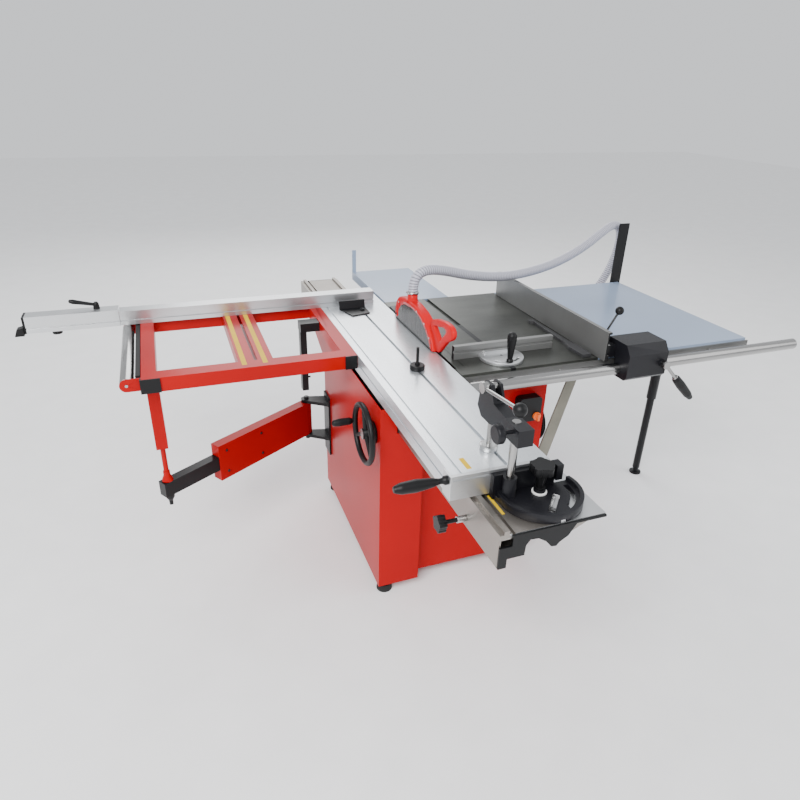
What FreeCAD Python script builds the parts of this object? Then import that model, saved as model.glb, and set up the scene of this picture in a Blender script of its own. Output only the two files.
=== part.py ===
import FreeCAD, Part
import math
import os

# A sliding-table panel saw. Millimetres. While it is built, X is the operator's right, Y the feed
# direction and Z up, with X = 0 on the carriage's left side, Y = 0 on its front end and Z = 0 on
# the floor. At the end everything moves so that the origin is the bottom centre of the machine.

Vector = FreeCAD.Vector
ALONG = {"x": Vector(1, 0, 0), "y": Vector(0, 1, 0), "z": Vector(0, 0, 1)}

# ---- driving dimensions ----
table_height = 870          # floor to every table surface
running_gap = 0.3           # between faces that slide past each other
pin_gap = 0.05              # radial clearance of a shaft in its hole

carriage_width = 280
carriage_length = 1570
carriage_height = 70
slot_x = 157.5              # centre of the carriage's main T-slot
slot_mouth = 10
slot_head = 20
slot_depth = 16

table_left = 284            # main table, iron casting
table_width = 546
table_front = 545
table_depth = 817
table_skirt = 50
table_plate = 18
insert_width = 46
insert_depth = 6
insert_front = 600
insert_length = 640
side_table_width = 701
rear_table_left = 290
rear_table_width = 305
rear_table_depth = 520
sheet = 3                   # thickness of folded sheet steel
fold = 40                   # height of the folded skirts of the sheet tables

rail_left = 57              # base rail under the carriage
rail_width = 193
rail_top = 790
rail_bottom = 693
rail_front = -167
rail_length = 2217
wing_width = 107            # wing plate at the rail's front
wing_thick = 8

cabinet_left = -8
cabinet_width = 657
cabinet_front = 575
cabinet_depth = 730
cabinet_bottom = 40
cabinet_wall_top = 790      # left wall, just under the carriage
nose_width = 158            # the part of the cabinet that stands further forward
nose_reach = 45

bar_radius = 21             # round guide bar of the rip fence
bar_y = 495
bar_z = 840
bar_right = 1740

frame_width = 724           # outrigger frame, left of the carriage
frame_front = 815
frame_depth = 635
frame_tall = 50
frame_rail = 60
frame_side = 48
tube_wall = 3

blade_x = 286               # plane of the saw blade
blade_radius = 157.5
blade_kerf = 3.2
arbor_y = 960
arbor_z = 695               # arbor when the blade is lowered
tilt_radius = 230           # radius of the tilting arcs about the table's top edge

pivot_x, pivot_y = -95, 1300            # swing arm hinge on the cabinet
leg_x, leg_y = -697, 915                # outrigger leg, over the arm's end
arm_z = 390                             # middle of the swing arm
arm_box_tall = 155
arm_box_thick = 45
arm_box_reach = 500
arm_bar_tall = 58
arm_bar_thick = 38

hose_radius = 20

table_right = table_left + table_width
table_rear = table_front + table_depth
side_table_right = table_right + side_table_width
carriage_bottom = table_height - carriage_height
rail_right = rail_left + rail_width
rail_rear = rail_front + rail_length
cabinet_right = cabinet_left + cabinet_width
cabinet_rear = cabinet_front + cabinet_depth
nose_front = cabinet_front - nose_reach
table_under = table_height - table_skirt
frame_rear = frame_front + frame_depth
frame_bottom = table_height - frame_tall


# ---- small helpers ----
def block(x, y, z):
    "Box between a low and a high value on each axis."
    return Part.makeBox(x[1] - x[0], y[1] - y[0], z[1] - z[0], Vector(x[0], y[0], z[0]))


def rod(radius, start, end, small=None):
    "Round bar between two points, or a taper to the radius small at its end."
    start, end = Vector(*start), Vector(*end)
    length = (end - start).Length
    if small is None:
        return Part.makeCylinder(radius, length, start, end - start)
    return Part.makeCone(radius, small, length, start, end - start)


def prism(outline, axis, low, high):
    "Outline in the two other axes, taken in X, Y, Z order, drawn out along axis."
    places = {"x": lambda u, v: Vector(low, u, v), "y": lambda u, v: Vector(u, low, v),
              "z": lambda u, v: Vector(u, v, low)}
    place = places[axis]
    wire = Part.makePolygon([place(u, v) for u, v in outline + outline[:1]])
    return Part.Face(wire).extrude(ALONG[axis] * (high - low))


def turned(profile, start, end):
    "Solid turned about the line from start towards end; profile is (distance along, radius)."
    start, end = Vector(*start), Vector(*end)
    points = [Vector(0, 0, profile[0][0])] + [Vector(r, 0, h) for h, r in profile]
    points += [Vector(0, 0, profile[-1][0])]
    wire = Part.makePolygon(points + points[:1])
    solid = Part.Face(wire).revolve(Vector(0, 0, 0), ALONG["z"], 360)
    solid.Placement = FreeCAD.Placement(start, FreeCAD.Rotation(ALONG["z"], end - start))
    return solid


def join(first, *others):
    return first.fuse(list(others)).removeSplitter()


def less(solid, *cuts):
    return solid.cut(list(cuts))


def group(*solids):
    "Several separate solids in one node."
    return Part.makeCompound(list(solids))


def ring_sector(inner, outer, thick, centre, start, sweep):
    "Flat arc rib about an axis along Y; angles from straight down, towards +X."
    half = Part.makeCylinder(outer, thick, Vector(0, 0, 0), ALONG["y"], sweep)
    half = half.cut(Part.makeCylinder(inner, thick, Vector(0, 0, 0), ALONG["y"], 360))
    # a cylinder about Y starts its sweep on +Z and runs towards +X
    half.rotate(Vector(0, 0, 0), ALONG["y"], 180 - start - sweep)
    half.translate(Vector(*centre))
    return half


def star_knob(radius, thick, start, end, lobes=6):
    "Lobed hand knob whose underside is at start."
    start, end = Vector(*start), Vector(*end)
    knob = Part.makeCylinder(radius * 0.82, thick)
    for turn_number in range(lobes):
        angle = 2 * math.pi * turn_number / lobes
        lobe_radius = radius * 0.32
        reach = radius - lobe_radius
        lobe = Part.makeCylinder(lobe_radius, thick,
                                 Vector(reach * math.cos(angle), reach * math.sin(angle), 0))
        knob = knob.fuse(lobe)
    knob = knob.removeSplitter()
    knob.Placement = FreeCAD.Placement(start, FreeCAD.Rotation(ALONG["z"], end - start))
    return knob


# ---- cabinet ----
def cabinet():
    "Folded sheet housing, open at the top, with a notch for the base rail."
    def plan(inset):
        left, right = cabinet_left + inset, cabinet_right - inset
        nose_right = cabinet_left + nose_width - inset
        front, nose, rear = cabinet_front + inset, nose_front + inset, cabinet_rear - inset
        return [(left, nose), (nose_right, nose), (nose_right, front), (right, front),
                (right, rear), (left, rear)]
    shell = less(prism(plan(0), "z", cabinet_bottom, table_under),
                 prism(plan(sheet), "z", cabinet_bottom + sheet, table_under))
    whole_depth = (nose_front - 1, cabinet_rear + 1)
    rail_room = 5
    notch_left, notch_right = rail_left - rail_room, rail_right + rail_room
    low_top = block((cabinet_left - 1, carriage_width + 2), whole_depth, (cabinet_wall_top, table_under + 1))
    notch = block((notch_left, notch_right), whole_depth, (rail_bottom, table_under + 1))
    shelf_depth, shelf_thick = 70, 8
    inner_right = notch_right + 4
    shelves = [block((cabinet_left + sheet, inner_right), (cabinet_front, cabinet_front + shelf_depth),
                     (rail_bottom - shelf_thick, rail_bottom)),
               block((cabinet_left + sheet, inner_right),
                     (cabinet_rear - shelf_depth, cabinet_rear - sheet),
                     (rail_bottom - shelf_thick, rail_bottom))]
    pad_x = (rail_left + 148, rail_left + 160)
    for y in ((cabinet_front, cabinet_front + shelf_depth), (cabinet_rear - shelf_depth,
              cabinet_rear - sheet)):
        shelves.append(block(pad_x, y, (rail_bottom - shelf_thick, rail_bottom + 32)))
    flange = 25
    ledges = [block((carriage_width + 4, cabinet_right - sheet), (cabinet_front, cabinet_front + flange),
                    (table_under - sheet, table_under)),
              block((carriage_width + 4, cabinet_right - sheet), (cabinet_rear - flange, cabinet_rear),
                    (table_under - sheet, table_under))]
    ear_reach, ear_low = 220, 130
    ear = prism([(cabinet_rear - sheet, cabinet_wall_top - ear_low), (cabinet_rear + ear_reach,
                 cabinet_wall_top - fold), (cabinet_rear + ear_reach, cabinet_wall_top),
                 (cabinet_rear - sheet, cabinet_wall_top)], "x", cabinet_left, cabinet_left + sheet)
    shell = less(shell, low_top, notch)
    shell = join(shell, ear, *shelves, *ledges)
    wall = (cabinet_left - 1, cabinet_left + sheet + 1)
    wheel_hole = rod(wheel_shaft + pin_gap, (wall[0], wheel_y, wheel_z), (wall[1], wheel_y, wheel_z))
    right_wall = (cabinet_right - sheet - 1, cabinet_right + 1)
    rise_hole = rod(wheel_shaft + pin_gap, (right_wall[0], rise_wheel_y, rise_wheel_z),
                    (right_wall[1], rise_wheel_y, rise_wheel_z))
    outlet = less(rod(outlet_radius, (outlet_x, cabinet_rear - sheet, outlet_z),
                      (outlet_x, cabinet_rear + outlet_reach, outlet_z)),
                  rod(outlet_radius - sheet, (outlet_x, cabinet_rear - sheet - 1, outlet_z),
                      (outlet_x, cabinet_rear + outlet_reach + 1, outlet_z)))
    outlet_hole = rod(outlet_radius - sheet, (outlet_x, cabinet_rear - sheet - 1, outlet_z),
                      (outlet_x, cabinet_rear + 1, outlet_z))
    inlet = less(rod(hose_radius + sheet + pin_gap, (inlet_x, cabinet_rear - sheet, inlet_z),
                     (inlet_x, cabinet_rear + inlet_reach, inlet_z)),
                 rod(hose_radius + pin_gap, (inlet_x, cabinet_rear - sheet - 1, inlet_z),
                     (inlet_x, cabinet_rear + inlet_reach + 1, inlet_z)))
    inlet_hole = rod(hose_radius - sheet, (inlet_x, cabinet_rear - sheet - 1, inlet_z),
                     (inlet_x, cabinet_rear + 1, inlet_z))
    shell = less(shell, wheel_hole, rise_hole, outlet_hole, inlet_hole)
    return join(shell, outlet, inlet)


wheel_y, wheel_z = 596, 674             # tilting handwheel, on the cabinet's left wall
wheel_radius = 111
wheel_shaft = 8
rise_wheel_y, rise_wheel_z = 690, 560   # blade height handwheel, on the right wall
outlet_x, outlet_z = 430, 170           # dust outlet at the back
outlet_radius = 50
outlet_reach = 50
inlet_x, inlet_z = 560, 560             # where the guard's hose goes in
inlet_reach = 40

foot_inset = 34
foot_radius = 30
foot_corners = [(cabinet_left + foot_inset, nose_front + foot_inset),
                (cabinet_right - foot_inset, cabinet_front + foot_inset),
                (cabinet_left + foot_inset, cabinet_rear - foot_inset),
                (cabinet_right - foot_inset, cabinet_rear - foot_inset)]


def cabinet_feet():
    "Rubber pads on short studs under the corners."
    stud_radius, stud_low = 8, 26
    return group(*[turned([(0, foot_radius), (6, foot_radius), (stud_low, foot_radius * 0.8),
                           (stud_low, stud_radius), (cabinet_bottom, stud_radius)],
                          (x, y, 0), (x, y, 1)) for x, y in foot_corners])


# ---- tables ----
mitre_slot_x = table_left + 198
mitre_slot_width = 20
mitre_slot_depth = 10
insert_left = table_left + 6
insert_right = insert_left + insert_width
ledge = 8                   # width of the shelf that the insert rests on
rib_thick = 12


def main_table():
    "Cast table: a plate with a skirt, two ribs that stand on the cabinet, and the blade opening."
    across, along = (table_left, table_right), (table_front, table_rear)
    plate = block(across, along, (table_height - table_plate, table_height))
    skirt_z = (table_under, table_height - table_plate)
    insert_rear = insert_front + insert_length
    left_end = (table_left, table_left + rib_thick)
    skirts = [block(across, (table_front, table_front + rib_thick), skirt_z),
              block(across, (table_rear - rib_thick, table_rear), skirt_z),
              block((table_right - rib_thick, table_right), along, skirt_z),
              block(left_end, (insert_rear + ledge, table_rear), skirt_z)]
    ribs = [block((table_left + 20, table_right), (y, y + rib_thick), skirt_z)
            for y in (cabinet_front + 4, cabinet_rear - rib_thick - 4)]
    opening = block((table_left - 1, insert_right - ledge), (insert_front + ledge, insert_rear - ledge),
                    (table_under - 1, table_height + 1))
    recess = block((table_left - 1, insert_right + running_gap),
                   (insert_front - running_gap, insert_rear + running_gap),
                   (table_height - insert_depth, table_height + 1))
    half = mitre_slot_width / 2
    slot = block((mitre_slot_x - half, mitre_slot_x + half), (table_front - 1, table_rear + 1),
                 (table_height - mitre_slot_depth, table_height + 1))
    return less(join(plate, *skirts, *ribs), opening, recess, slot)


def table_insert():
    "Strip beside the blade, held by a countersunk screw at each end."
    strip = block((insert_left, insert_right), (insert_front, insert_front + insert_length),
                  (table_height - insert_depth, table_height))
    middle = (insert_left + insert_right) / 2 + ledge
    for y in (insert_front + ledge * 2, insert_front + insert_length - ledge * 2):
        strip = less(strip, rod(2.5, (middle, y, table_height - insert_depth - 1),
                                (middle, y, table_height + 1)))
    return strip


def folded_table(x, y):
    "Sheet table with a skirt folded down on all four sides."
    outer = block(x, y, (table_height - fold, table_height))
    inner = block((x[0] + sheet, x[1] - sheet), (y[0] + sheet, y[1] - sheet),
                  (table_height - fold - 1, table_height - sheet))
    return less(outer, inner)


def side_extension():
    top = folded_table((table_right, side_table_right), (table_front, table_rear))
    middle = side_leg_y
    channel = block((table_right + sheet, side_table_right - sheet), (middle - 20, middle + 20),
                    (table_height - fold, table_height - sheet))
    hollow = block((table_right + sheet, side_table_right - sheet), (middle - 17, middle + 17),
                   (table_height - fold - 1, table_height - sheet * 2))
    return join(top, less(channel, hollow))


def rear_extension():
    "Sheet table behind the main table, with a flat upright at its far left corner."
    x = (rear_table_left, rear_table_left + rear_table_width)
    top = folded_table(x, (table_rear, table_rear + rear_table_depth))
    upright_width, upright_thick, upright_top = 20, 6, 110
    rear = table_rear + rear_table_depth
    upright = block((x[0], x[0] + upright_width), (rear, rear + upright_thick),
                    (table_height - fold, table_height + upright_top))
    return group(top, upright)


# ---- legs and braces of the side table ----
side_leg_x, side_leg_y = side_table_right - 31, 937


def extension_leg():
    "Telescopic steel leg with a foot, under the outer side of the side table."
    outer, inner, overlap_z = 22, 17, 420
    under = table_height - fold
    return join(turned([(0, 28), (8, 28), (14, 12), (30, 12), (30, inner), (overlap_z, inner)],
                       (side_leg_x, side_leg_y, 0), (side_leg_x, side_leg_y, 1)),
                rod(outer, (side_leg_x, side_leg_y, overlap_z), (side_leg_x, side_leg_y, under)),
                rod(outer + 8, (side_leg_x, side_leg_y, under - 4), (side_leg_x, side_leg_y, under)))


def extension_brace():
    "Flat bar from the cabinet's right wall up to the side table, with a tab at each end."
    thick, wide = 6, 42
    y, foot_z, head_x = 596, 385, table_right - 58
    under = table_height - table_plate
    bar = prism([(cabinet_right, foot_z), (cabinet_right + wide, foot_z - 10),
                 (head_x + wide, under), (head_x, under), (cabinet_right + thick, foot_z + 60),
                 (cabinet_right, foot_z + 60)], "y", y, y + thick)
    tab = block((cabinet_right, cabinet_right + thick), (y, y + wide), (foot_z, foot_z + 60))
    seat = block((head_x, head_x + wide), (y, y + wide), (under - thick, under))
    return join(bar, tab, seat)


# ---- base rail ----
guide_width = 14


def rail_section(right_low):
    "Underside of the rail, from its left leg over the arch and the second leg to its right side."
    left, low = rail_left, rail_bottom
    return [(left, low), (left + 23, low), (left + 23, low + 27), (left + 71, low + 27),
            (left + 73, low + 57), (left + 84, low + 71), (left + 106, low + 69), (left + 129, low + 54),
            (left + 146, low + 34), (left + 161, low + 32), (left + 170, low + 43), (rail_right, right_low)]


def rail_profile_block(y):
    "Hollow rail with two guide ways on top and a T-slot in its left half."
    outer = prism(rail_section(rail_bottom + 56) + [(rail_right, rail_top), (rail_left, rail_top)],
                  "y", y[0], y[1])
    wall = 5
    past = (y[0] - 1, y[1] + 1)
    cavities = [block((rail_left + wall, rail_left + 66), past, (rail_bottom + 32, rail_top - 15)),
                block((rail_left + 84, rail_right - wall), past, (rail_bottom + 77, rail_top - wall))]
    slot_left = rail_left + 34
    slot = block((slot_left, slot_left + 8), (y[0] - 1, y[1] + 1), (rail_top - 10, rail_top + 1))
    guides = [block((x, x + guide_width), y, (rail_top, carriage_bottom - running_gap))
              for x in (rail_left + 12, rail_right - 12 - guide_width)]
    return join(less(outer, slot, *cavities), *guides)


def base_rail():
    "Extruded rail, with the wing plate where it stands out in front of the cabinet."
    rail = rail_profile_block((rail_front, rail_rear))
    wing_rear = nose_front - 10
    wing = block((rail_right, rail_right + wing_width), (rail_front, wing_rear),
                 (rail_top - wing_thick, rail_top))
    rib = prism([(rail_right, rail_top - wing_thick), (rail_right + wing_width * 0.6,
                 rail_top - wing_thick), (rail_right, rail_top - 40)], "y", rail_front, wing_rear)
    lock_hole = rod(lock_stud + pin_gap, (rail_left - 1, lock_y, lock_z), (rail_left + 21, lock_y, lock_z))
    return less(join(rail, wing, rib), lock_hole)


lock_stud = 6
lock_y, lock_z = 12, 716


def base_rail_caps():
    "Moulded plates that close the rail's two ends."
    thick = 6
    wing = rail_right + wing_width
    outline = rail_section(rail_bottom + 57) + [(rail_right + 20, rail_top - wing_thick), (wing,
              rail_top - wing_thick), (wing, rail_top - 2), (rail_left + 34, rail_top - 2),
              (rail_left + 34, rail_top - 34), (rail_left, rail_top - 34)]
    front = prism(outline, "y", rail_front - thick, rail_front)
    rear = prism(rail_section(rail_bottom + 56) + [(rail_right, rail_top), (rail_left, rail_top)],
                 "y", rail_rear, rail_rear + thick)
    return group(front, rear)


def rail_lock_knob():
    "Star knob whose threaded stud clamps the rail's T-nut."
    knob = star_knob(25, 22, (rail_left - 62, lock_y, lock_z), (rail_left - 100, lock_y, lock_z), 5)
    stud = rod(lock_stud, (rail_left - 63, lock_y, lock_z), (rail_left + 20, lock_y, lock_z))
    collar = rod(9, (rail_left - 26, lock_y, lock_z), (rail_left - running_gap, lock_y, lock_z))
    return join(knob, stud, collar)


# ---- rip fence bar ----
stud_spacing = 340
angle_thick = 6


def rip_rail():
    "Round guide bar, and the steel angle on the table's edge whose studs carry it."
    left, angle_right = table_left + 6, bar_right - 200
    leg = block((left, angle_right), (table_front - angle_thick, table_front), (bar_z - 20, bar_z + 20))
    shelf = block((left, angle_right), (bar_y + bar_radius + 4, table_front),
                  (bar_z - 20 - angle_thick, bar_z - 20))
    studs = [rod(6, (x, bar_y + bar_radius + running_gap, bar_z), (x, table_front - angle_thick, bar_z))
             for x in range(left + 40, angle_right, stud_spacing)]
    end = 4
    bar = turned([(0, bar_radius - end), (end, bar_radius), (bar_right - left - end, bar_radius),
                  (bar_right - left, bar_radius - end)], (left, bar_y, bar_z), (left + 1, bar_y, bar_z))
    return group(bar, join(leg, shelf, *studs))


# ---- rip fence ----
fence_x = 822               # working face of the rip fence
fence_thick = 16
fence_front = 500
fence_length = 830
fence_tall = 108
head_left, head_width = 880, 170
head_front = 440
fence_lift = 2              # the fence plate's clearance over the table
arm_front, arm_rear = 524, 680


def rip_fence_head():
    "Cast head that runs on the round bar, with the arm that carries the fence plate."
    head_right = head_left + head_width
    nose_z, top_z = table_height + 35, table_height + 70
    low_z = bar_z - bar_radius - 9
    rear_y = bar_y + bar_radius + 3
    front = prism([(head_front, low_z + 12), (head_front, nose_z), (head_front + 25, top_z),
                   (arm_front + 40, top_z), (arm_front + 40, table_height + 4),
                   (rear_y, table_height + 4), (rear_y, low_z), (head_front + 12, low_z)],
                  "x", head_left, head_right)
    bore = rod(bar_radius + running_gap, (head_left - 1, bar_y, bar_z), (head_right + 1, bar_y, bar_z))
    stud_room = block((head_left - 1, head_right + 1), (bar_y, rear_y + 1), (bar_z - 9, bar_z + 9))
    angle_room = block((head_left - 1, head_right + 1), (bar_y + bar_radius + 1, rear_y + 60),
                       (low_z - 1, bar_z + 22))
    arm_left = fence_x + fence_thick + running_gap
    arm = block((arm_left, head_left + 40), (arm_front, arm_rear), (table_height + 4, table_height + 50))
    lever_boss = rod(14, (head_right - 20, head_front - 8, lever_z), (head_right - 20, head_front + 6,
                     lever_z))
    head = less(join(front, arm, lever_boss), bore, stud_room, angle_room)
    lever_bore = rod(6 + pin_gap, (head_right - 20, head_front - 9, lever_z),
                     (head_right - 20, head_front + 20, lever_z))
    ball_bore = rod(6 + pin_gap, (ball_x, ball_y, table_height + 30), (ball_x, ball_y, table_height + 51))
    return less(head, lever_bore, ball_bore)


def rip_fence_plate():
    "Tall extruded plate with a T-slot along its back."
    x = (fence_x, fence_x + fence_thick)
    y = (fence_front, fence_front + fence_length)
    low = table_height + fence_lift
    plate = block(x, y, (low, low + fence_tall))
    slot = block((x[1] - 8, x[1] + 1), (y[0] - 1, y[1] + 1), (low + 20, low + 32))
    upper = block((x[1] - 10, x[1] + 1), (y[0] - 1, y[1] + 1), (low + 60, low + 100))
    return less(plate, slot, upper)


lever_z = table_height - 5
ball_x, ball_y = fence_x + fence_thick + 22, 580
ball_lean, ball_rise = 67, 134           # from the foot of the ball lever to its ball


def rip_clamp_lever():
    "Lever with a chromed neck and a moulded grip, which locks the head on the bar."
    x, y = head_left + head_width - 20, head_front - 8
    hub_front = y - 20
    hub = rod(14, (x, hub_front, lever_z), (x, y - running_gap, lever_z))
    pin = rod(6, (x, y - 1, lever_z), (x, head_front + 18, lever_z))
    mid = hub_front + 10
    start = (x, mid, lever_z)
    towards = (x + 1, mid, lever_z - 1)
    neck = turned([(0, 6), (75, 6), (75, 9), (90, 15), (130, 17), (190, 15), (215, 10), (220, 4)],
                  start, towards)
    return join(hub, pin, neck)


def rip_ball_lever():
    "Ball-ended rod that locks the fence plate on its arm."
    base = table_height + 50
    hub = rod(11, (ball_x, ball_y, base + running_gap), (ball_x, ball_y, base + 14))
    pin = rod(6, (ball_x, ball_y, base - 18), (ball_x, ball_y, base + 1))
    stem_end = (ball_x, ball_y - ball_lean, base + ball_rise)
    stem = rod(4, (ball_x, ball_y, base + 8), stem_end)
    ball = Part.makeSphere(15, Vector(*stem_end))
    return join(hub, pin, stem, ball)


# ---- mitre gauge on the main table ----
gauge_y = 640               # swivel centre
protractor_radius = 80
gauge_fence_left, gauge_fence_length = 310, 403
gauge_fence_tall = 50
handle_reach = 62           # handle in front of the swivel centre
protractor_thick = 12
gauge_swing = 45            # degrees that the fence turns each way
stud_radius, stud_grip = 4, 24          # stud that the handle screws down on


def mitre_bar():
    "Guide bar in the table slot, with the clamp tab at its front and the swivel pin."
    half = mitre_slot_width / 2 - running_gap
    low = table_height - mitre_slot_depth + running_gap
    bar = block((mitre_slot_x - half, mitre_slot_x + half), (table_front + 4, table_front + 454),
                (low, table_height - running_gap))
    pin = rod(5, (mitre_slot_x, gauge_y, low), (mitre_slot_x, gauge_y, table_height + 12))
    stud_y = gauge_y - handle_reach
    stud_top = table_height + running_gap * 2 + protractor_thick + stud_grip
    stud = rod(stud_radius, (mitre_slot_x, stud_y, low), (mitre_slot_x, stud_y, stud_top))
    return join(bar, pin, stud)


def mitre_fence():
    "Half-round protractor with a slot for the clamp, and the extruded fence on its flat side."
    low = table_height + running_gap
    fence_y = gauge_y + 32
    disc = rod(protractor_radius, (mitre_slot_x, gauge_y, low), (mitre_slot_x, gauge_y, low + protractor_thick))
    behind = block((mitre_slot_x - 200, mitre_slot_x + 200), (gauge_y + 32, gauge_y + 200),
                   (low - 1, low + 80))
    slot_half = 5
    ring = less(rod(handle_reach + slot_half, (mitre_slot_x, gauge_y, low - 1),
                    (mitre_slot_x, gauge_y, low + 20)),
                rod(handle_reach - slot_half, (mitre_slot_x, gauge_y, low - 1),
                    (mitre_slot_x, gauge_y, low + 20)))
    reach = protractor_radius + 20
    half_slot = math.radians(gauge_swing) + stud_radius * 1.5 / handle_reach
    across, along = reach * math.sin(half_slot), reach * math.cos(half_slot)
    wedge = prism([(mitre_slot_x, gauge_y), (mitre_slot_x - across, gauge_y - along),
                   (mitre_slot_x - across, gauge_y - reach), (mitre_slot_x + across, gauge_y - reach),
                   (mitre_slot_x + across, gauge_y - along)], "z", low - 1, low + 20)
    bore = rod(5 + pin_gap, (mitre_slot_x, gauge_y, low - 1), (mitre_slot_x, gauge_y, low + 20))
    head = less(disc, behind, ring.common(wedge), bore)
    right = gauge_fence_left + gauge_fence_length
    fence = block((gauge_fence_left, right), (fence_y, fence_y + 18), (low, low + gauge_fence_tall))
    groove = block((gauge_fence_left - 1, right + 1), (fence_y - 1, fence_y + 7), (low + 24, low + 32))
    web = block((mitre_slot_x - 55, mitre_slot_x + 55), (fence_y - 10, fence_y), (low, low + 22))
    return join(less(fence, groove), web, head)


def mitre_handle():
    "Tapered grip that screws down on the protractor."
    y = gauge_y - handle_reach
    low = table_height + running_gap * 2 + protractor_thick
    grip = turned([(0, 12), (6, 12), (10, 9), (30, 11), (80, 16.5), (98, 16), (106, 10), (108, 4)],
                  (mitre_slot_x, y, low), (mitre_slot_x, y, low + 1))
    bore = rod(stud_radius + pin_gap, (mitre_slot_x, y, low - 1), (mitre_slot_x, y, low + stud_grip + 1))
    return less(grip, bore)


def push_stick():
    "Flat stick with a notched end, lying beside the rip fence."
    thick = 12
    return prism([(770, 556), (806, 556), (808, 640), (800, 700), (796, 951), (772, 951), (770, 935),
                  (784, 925), (778, 700), (766, 640)], "z", table_height, table_height + thick)


# ---- carriage ----
end_bar_thick = 12


def carriage():
    "Extruded table with a T-slot, a narrow groove, and a slot in its left side."
    x, y = (0, carriage_width), (0, carriage_length)
    body = block(x, y, (carriage_bottom, table_height))
    past = (-1, carriage_length + 1)
    half_mouth, half_head = slot_mouth / 2, slot_head / 2
    cuts = [block((slot_x - half_mouth, slot_x + half_mouth), past, (table_height - slot_depth,
                                                                   table_height + 1)),
            block((slot_x - half_head, slot_x + half_head), past, (table_height - slot_depth,
                                                                 table_height - 6)),
            block((25, 30), past, (table_height - 5, table_height + 1)),
            block((-1, 8), past, (table_height - 38, table_height - 32))]
    wall, top = 6, 22
    inner_z = (carriage_bottom + wall, table_height - top)
    cells = 3
    cell = (carriage_width - 14 - wall) / cells
    for number in range(cells):
        left = 14 + number * cell
        cuts.append(block((left, left + cell - wall), past, inner_z))
    return less(body, *cuts)


def carriage_end_bars():
    "Bars across both ends of the carriage, and the moulded strip at the front left corner."
    front = (-end_bar_thick, 0)
    top = less(block((0, carriage_width), front, (table_height - 36, table_height)),
               block((-1, carriage_width + 1), (-end_bar_thick - 1, -end_bar_thick + 4),
                     (table_height - 14, table_height - 8)))
    low = block((0, carriage_width), front, (carriage_bottom, table_height - 36))
    rear = block((0, carriage_width), (carriage_length, carriage_length + end_bar_thick),
                 (carriage_bottom, table_height))
    strip = block((-6, 0), (-end_bar_thick, 34), (carriage_bottom, table_height))
    return group(join(top, low), rear, strip)


def carriage_handle():
    "Moulded push handle that stands out to the left."
    x, y, z = -6, 8, table_height - 18
    return turned([(0, 12), (8, 12), (14, 8), (24, 8), (40, 12), (85, 17), (125, 15), (140, 10), (144, 8)],
                  (x, y, z), (x - 1, y, z))


shoe_front = 1215


def edging_shoe():
    "Bent plate that clamps in the T-slot to hold a panel's edge."
    low = table_height + running_gap
    base = prism([(slot_x - 60, shoe_front), (slot_x + 22, shoe_front + 20), (slot_x + 22, shoe_front + 100),
                  (slot_x - 90, shoe_front + 100)], "z", low, low + 5)
    upright = prism([(shoe_front + 92, low), (shoe_front + 100, low), (shoe_front + 112, low + 36),
                     (shoe_front + 104, low + 36)], "x", slot_x - 90, slot_x + 22)
    bolt = rod(slot_mouth / 2 - 1, (slot_x, shoe_front + 60, table_height - slot_depth + 3),
               (slot_x, shoe_front + 60, low + 14))
    tee = rod(slot_head / 2 - 1.5, (slot_x, shoe_front + 60, table_height - slot_depth + 1),
              (slot_x, shoe_front + 60, table_height - 7))
    nut = rod(9, (slot_x, shoe_front + 60, low + 5), (slot_x, shoe_front + 60, low + 12))
    return join(base, upright, bolt, tee, nut)


knob_y = 635


def slot_knob():
    "Round knob on a stud in the T-slot, a stop for the workpiece."
    low = table_height + running_gap
    knob = turned([(0, 24), (3, 26), (15, 26), (18, 24), (18, 9), (26, 8), (26, 5), (80, 5)],
                  (slot_x, knob_y, low), (slot_x, knob_y, low + 1))
    stud = rod(slot_mouth / 2 - 1, (slot_x, knob_y, table_height - slot_depth + 3),
               (slot_x, knob_y, low + 1))
    tee = rod(slot_head / 2 - 1.5, (slot_x, knob_y, table_height - slot_depth + 1),
              (slot_x, knob_y, table_height - 7))
    return join(knob, stud, tee)


# ---- angle quadrant and hold-down clamp at the carriage's front ----
quadrant_x, quadrant_y = 228, -58
quadrant_radius = 112
quadrant_back = -28
post_x, post_y = 145, -42
post_radius = 11
arm_low, arm_tall = 975, 45


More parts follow.
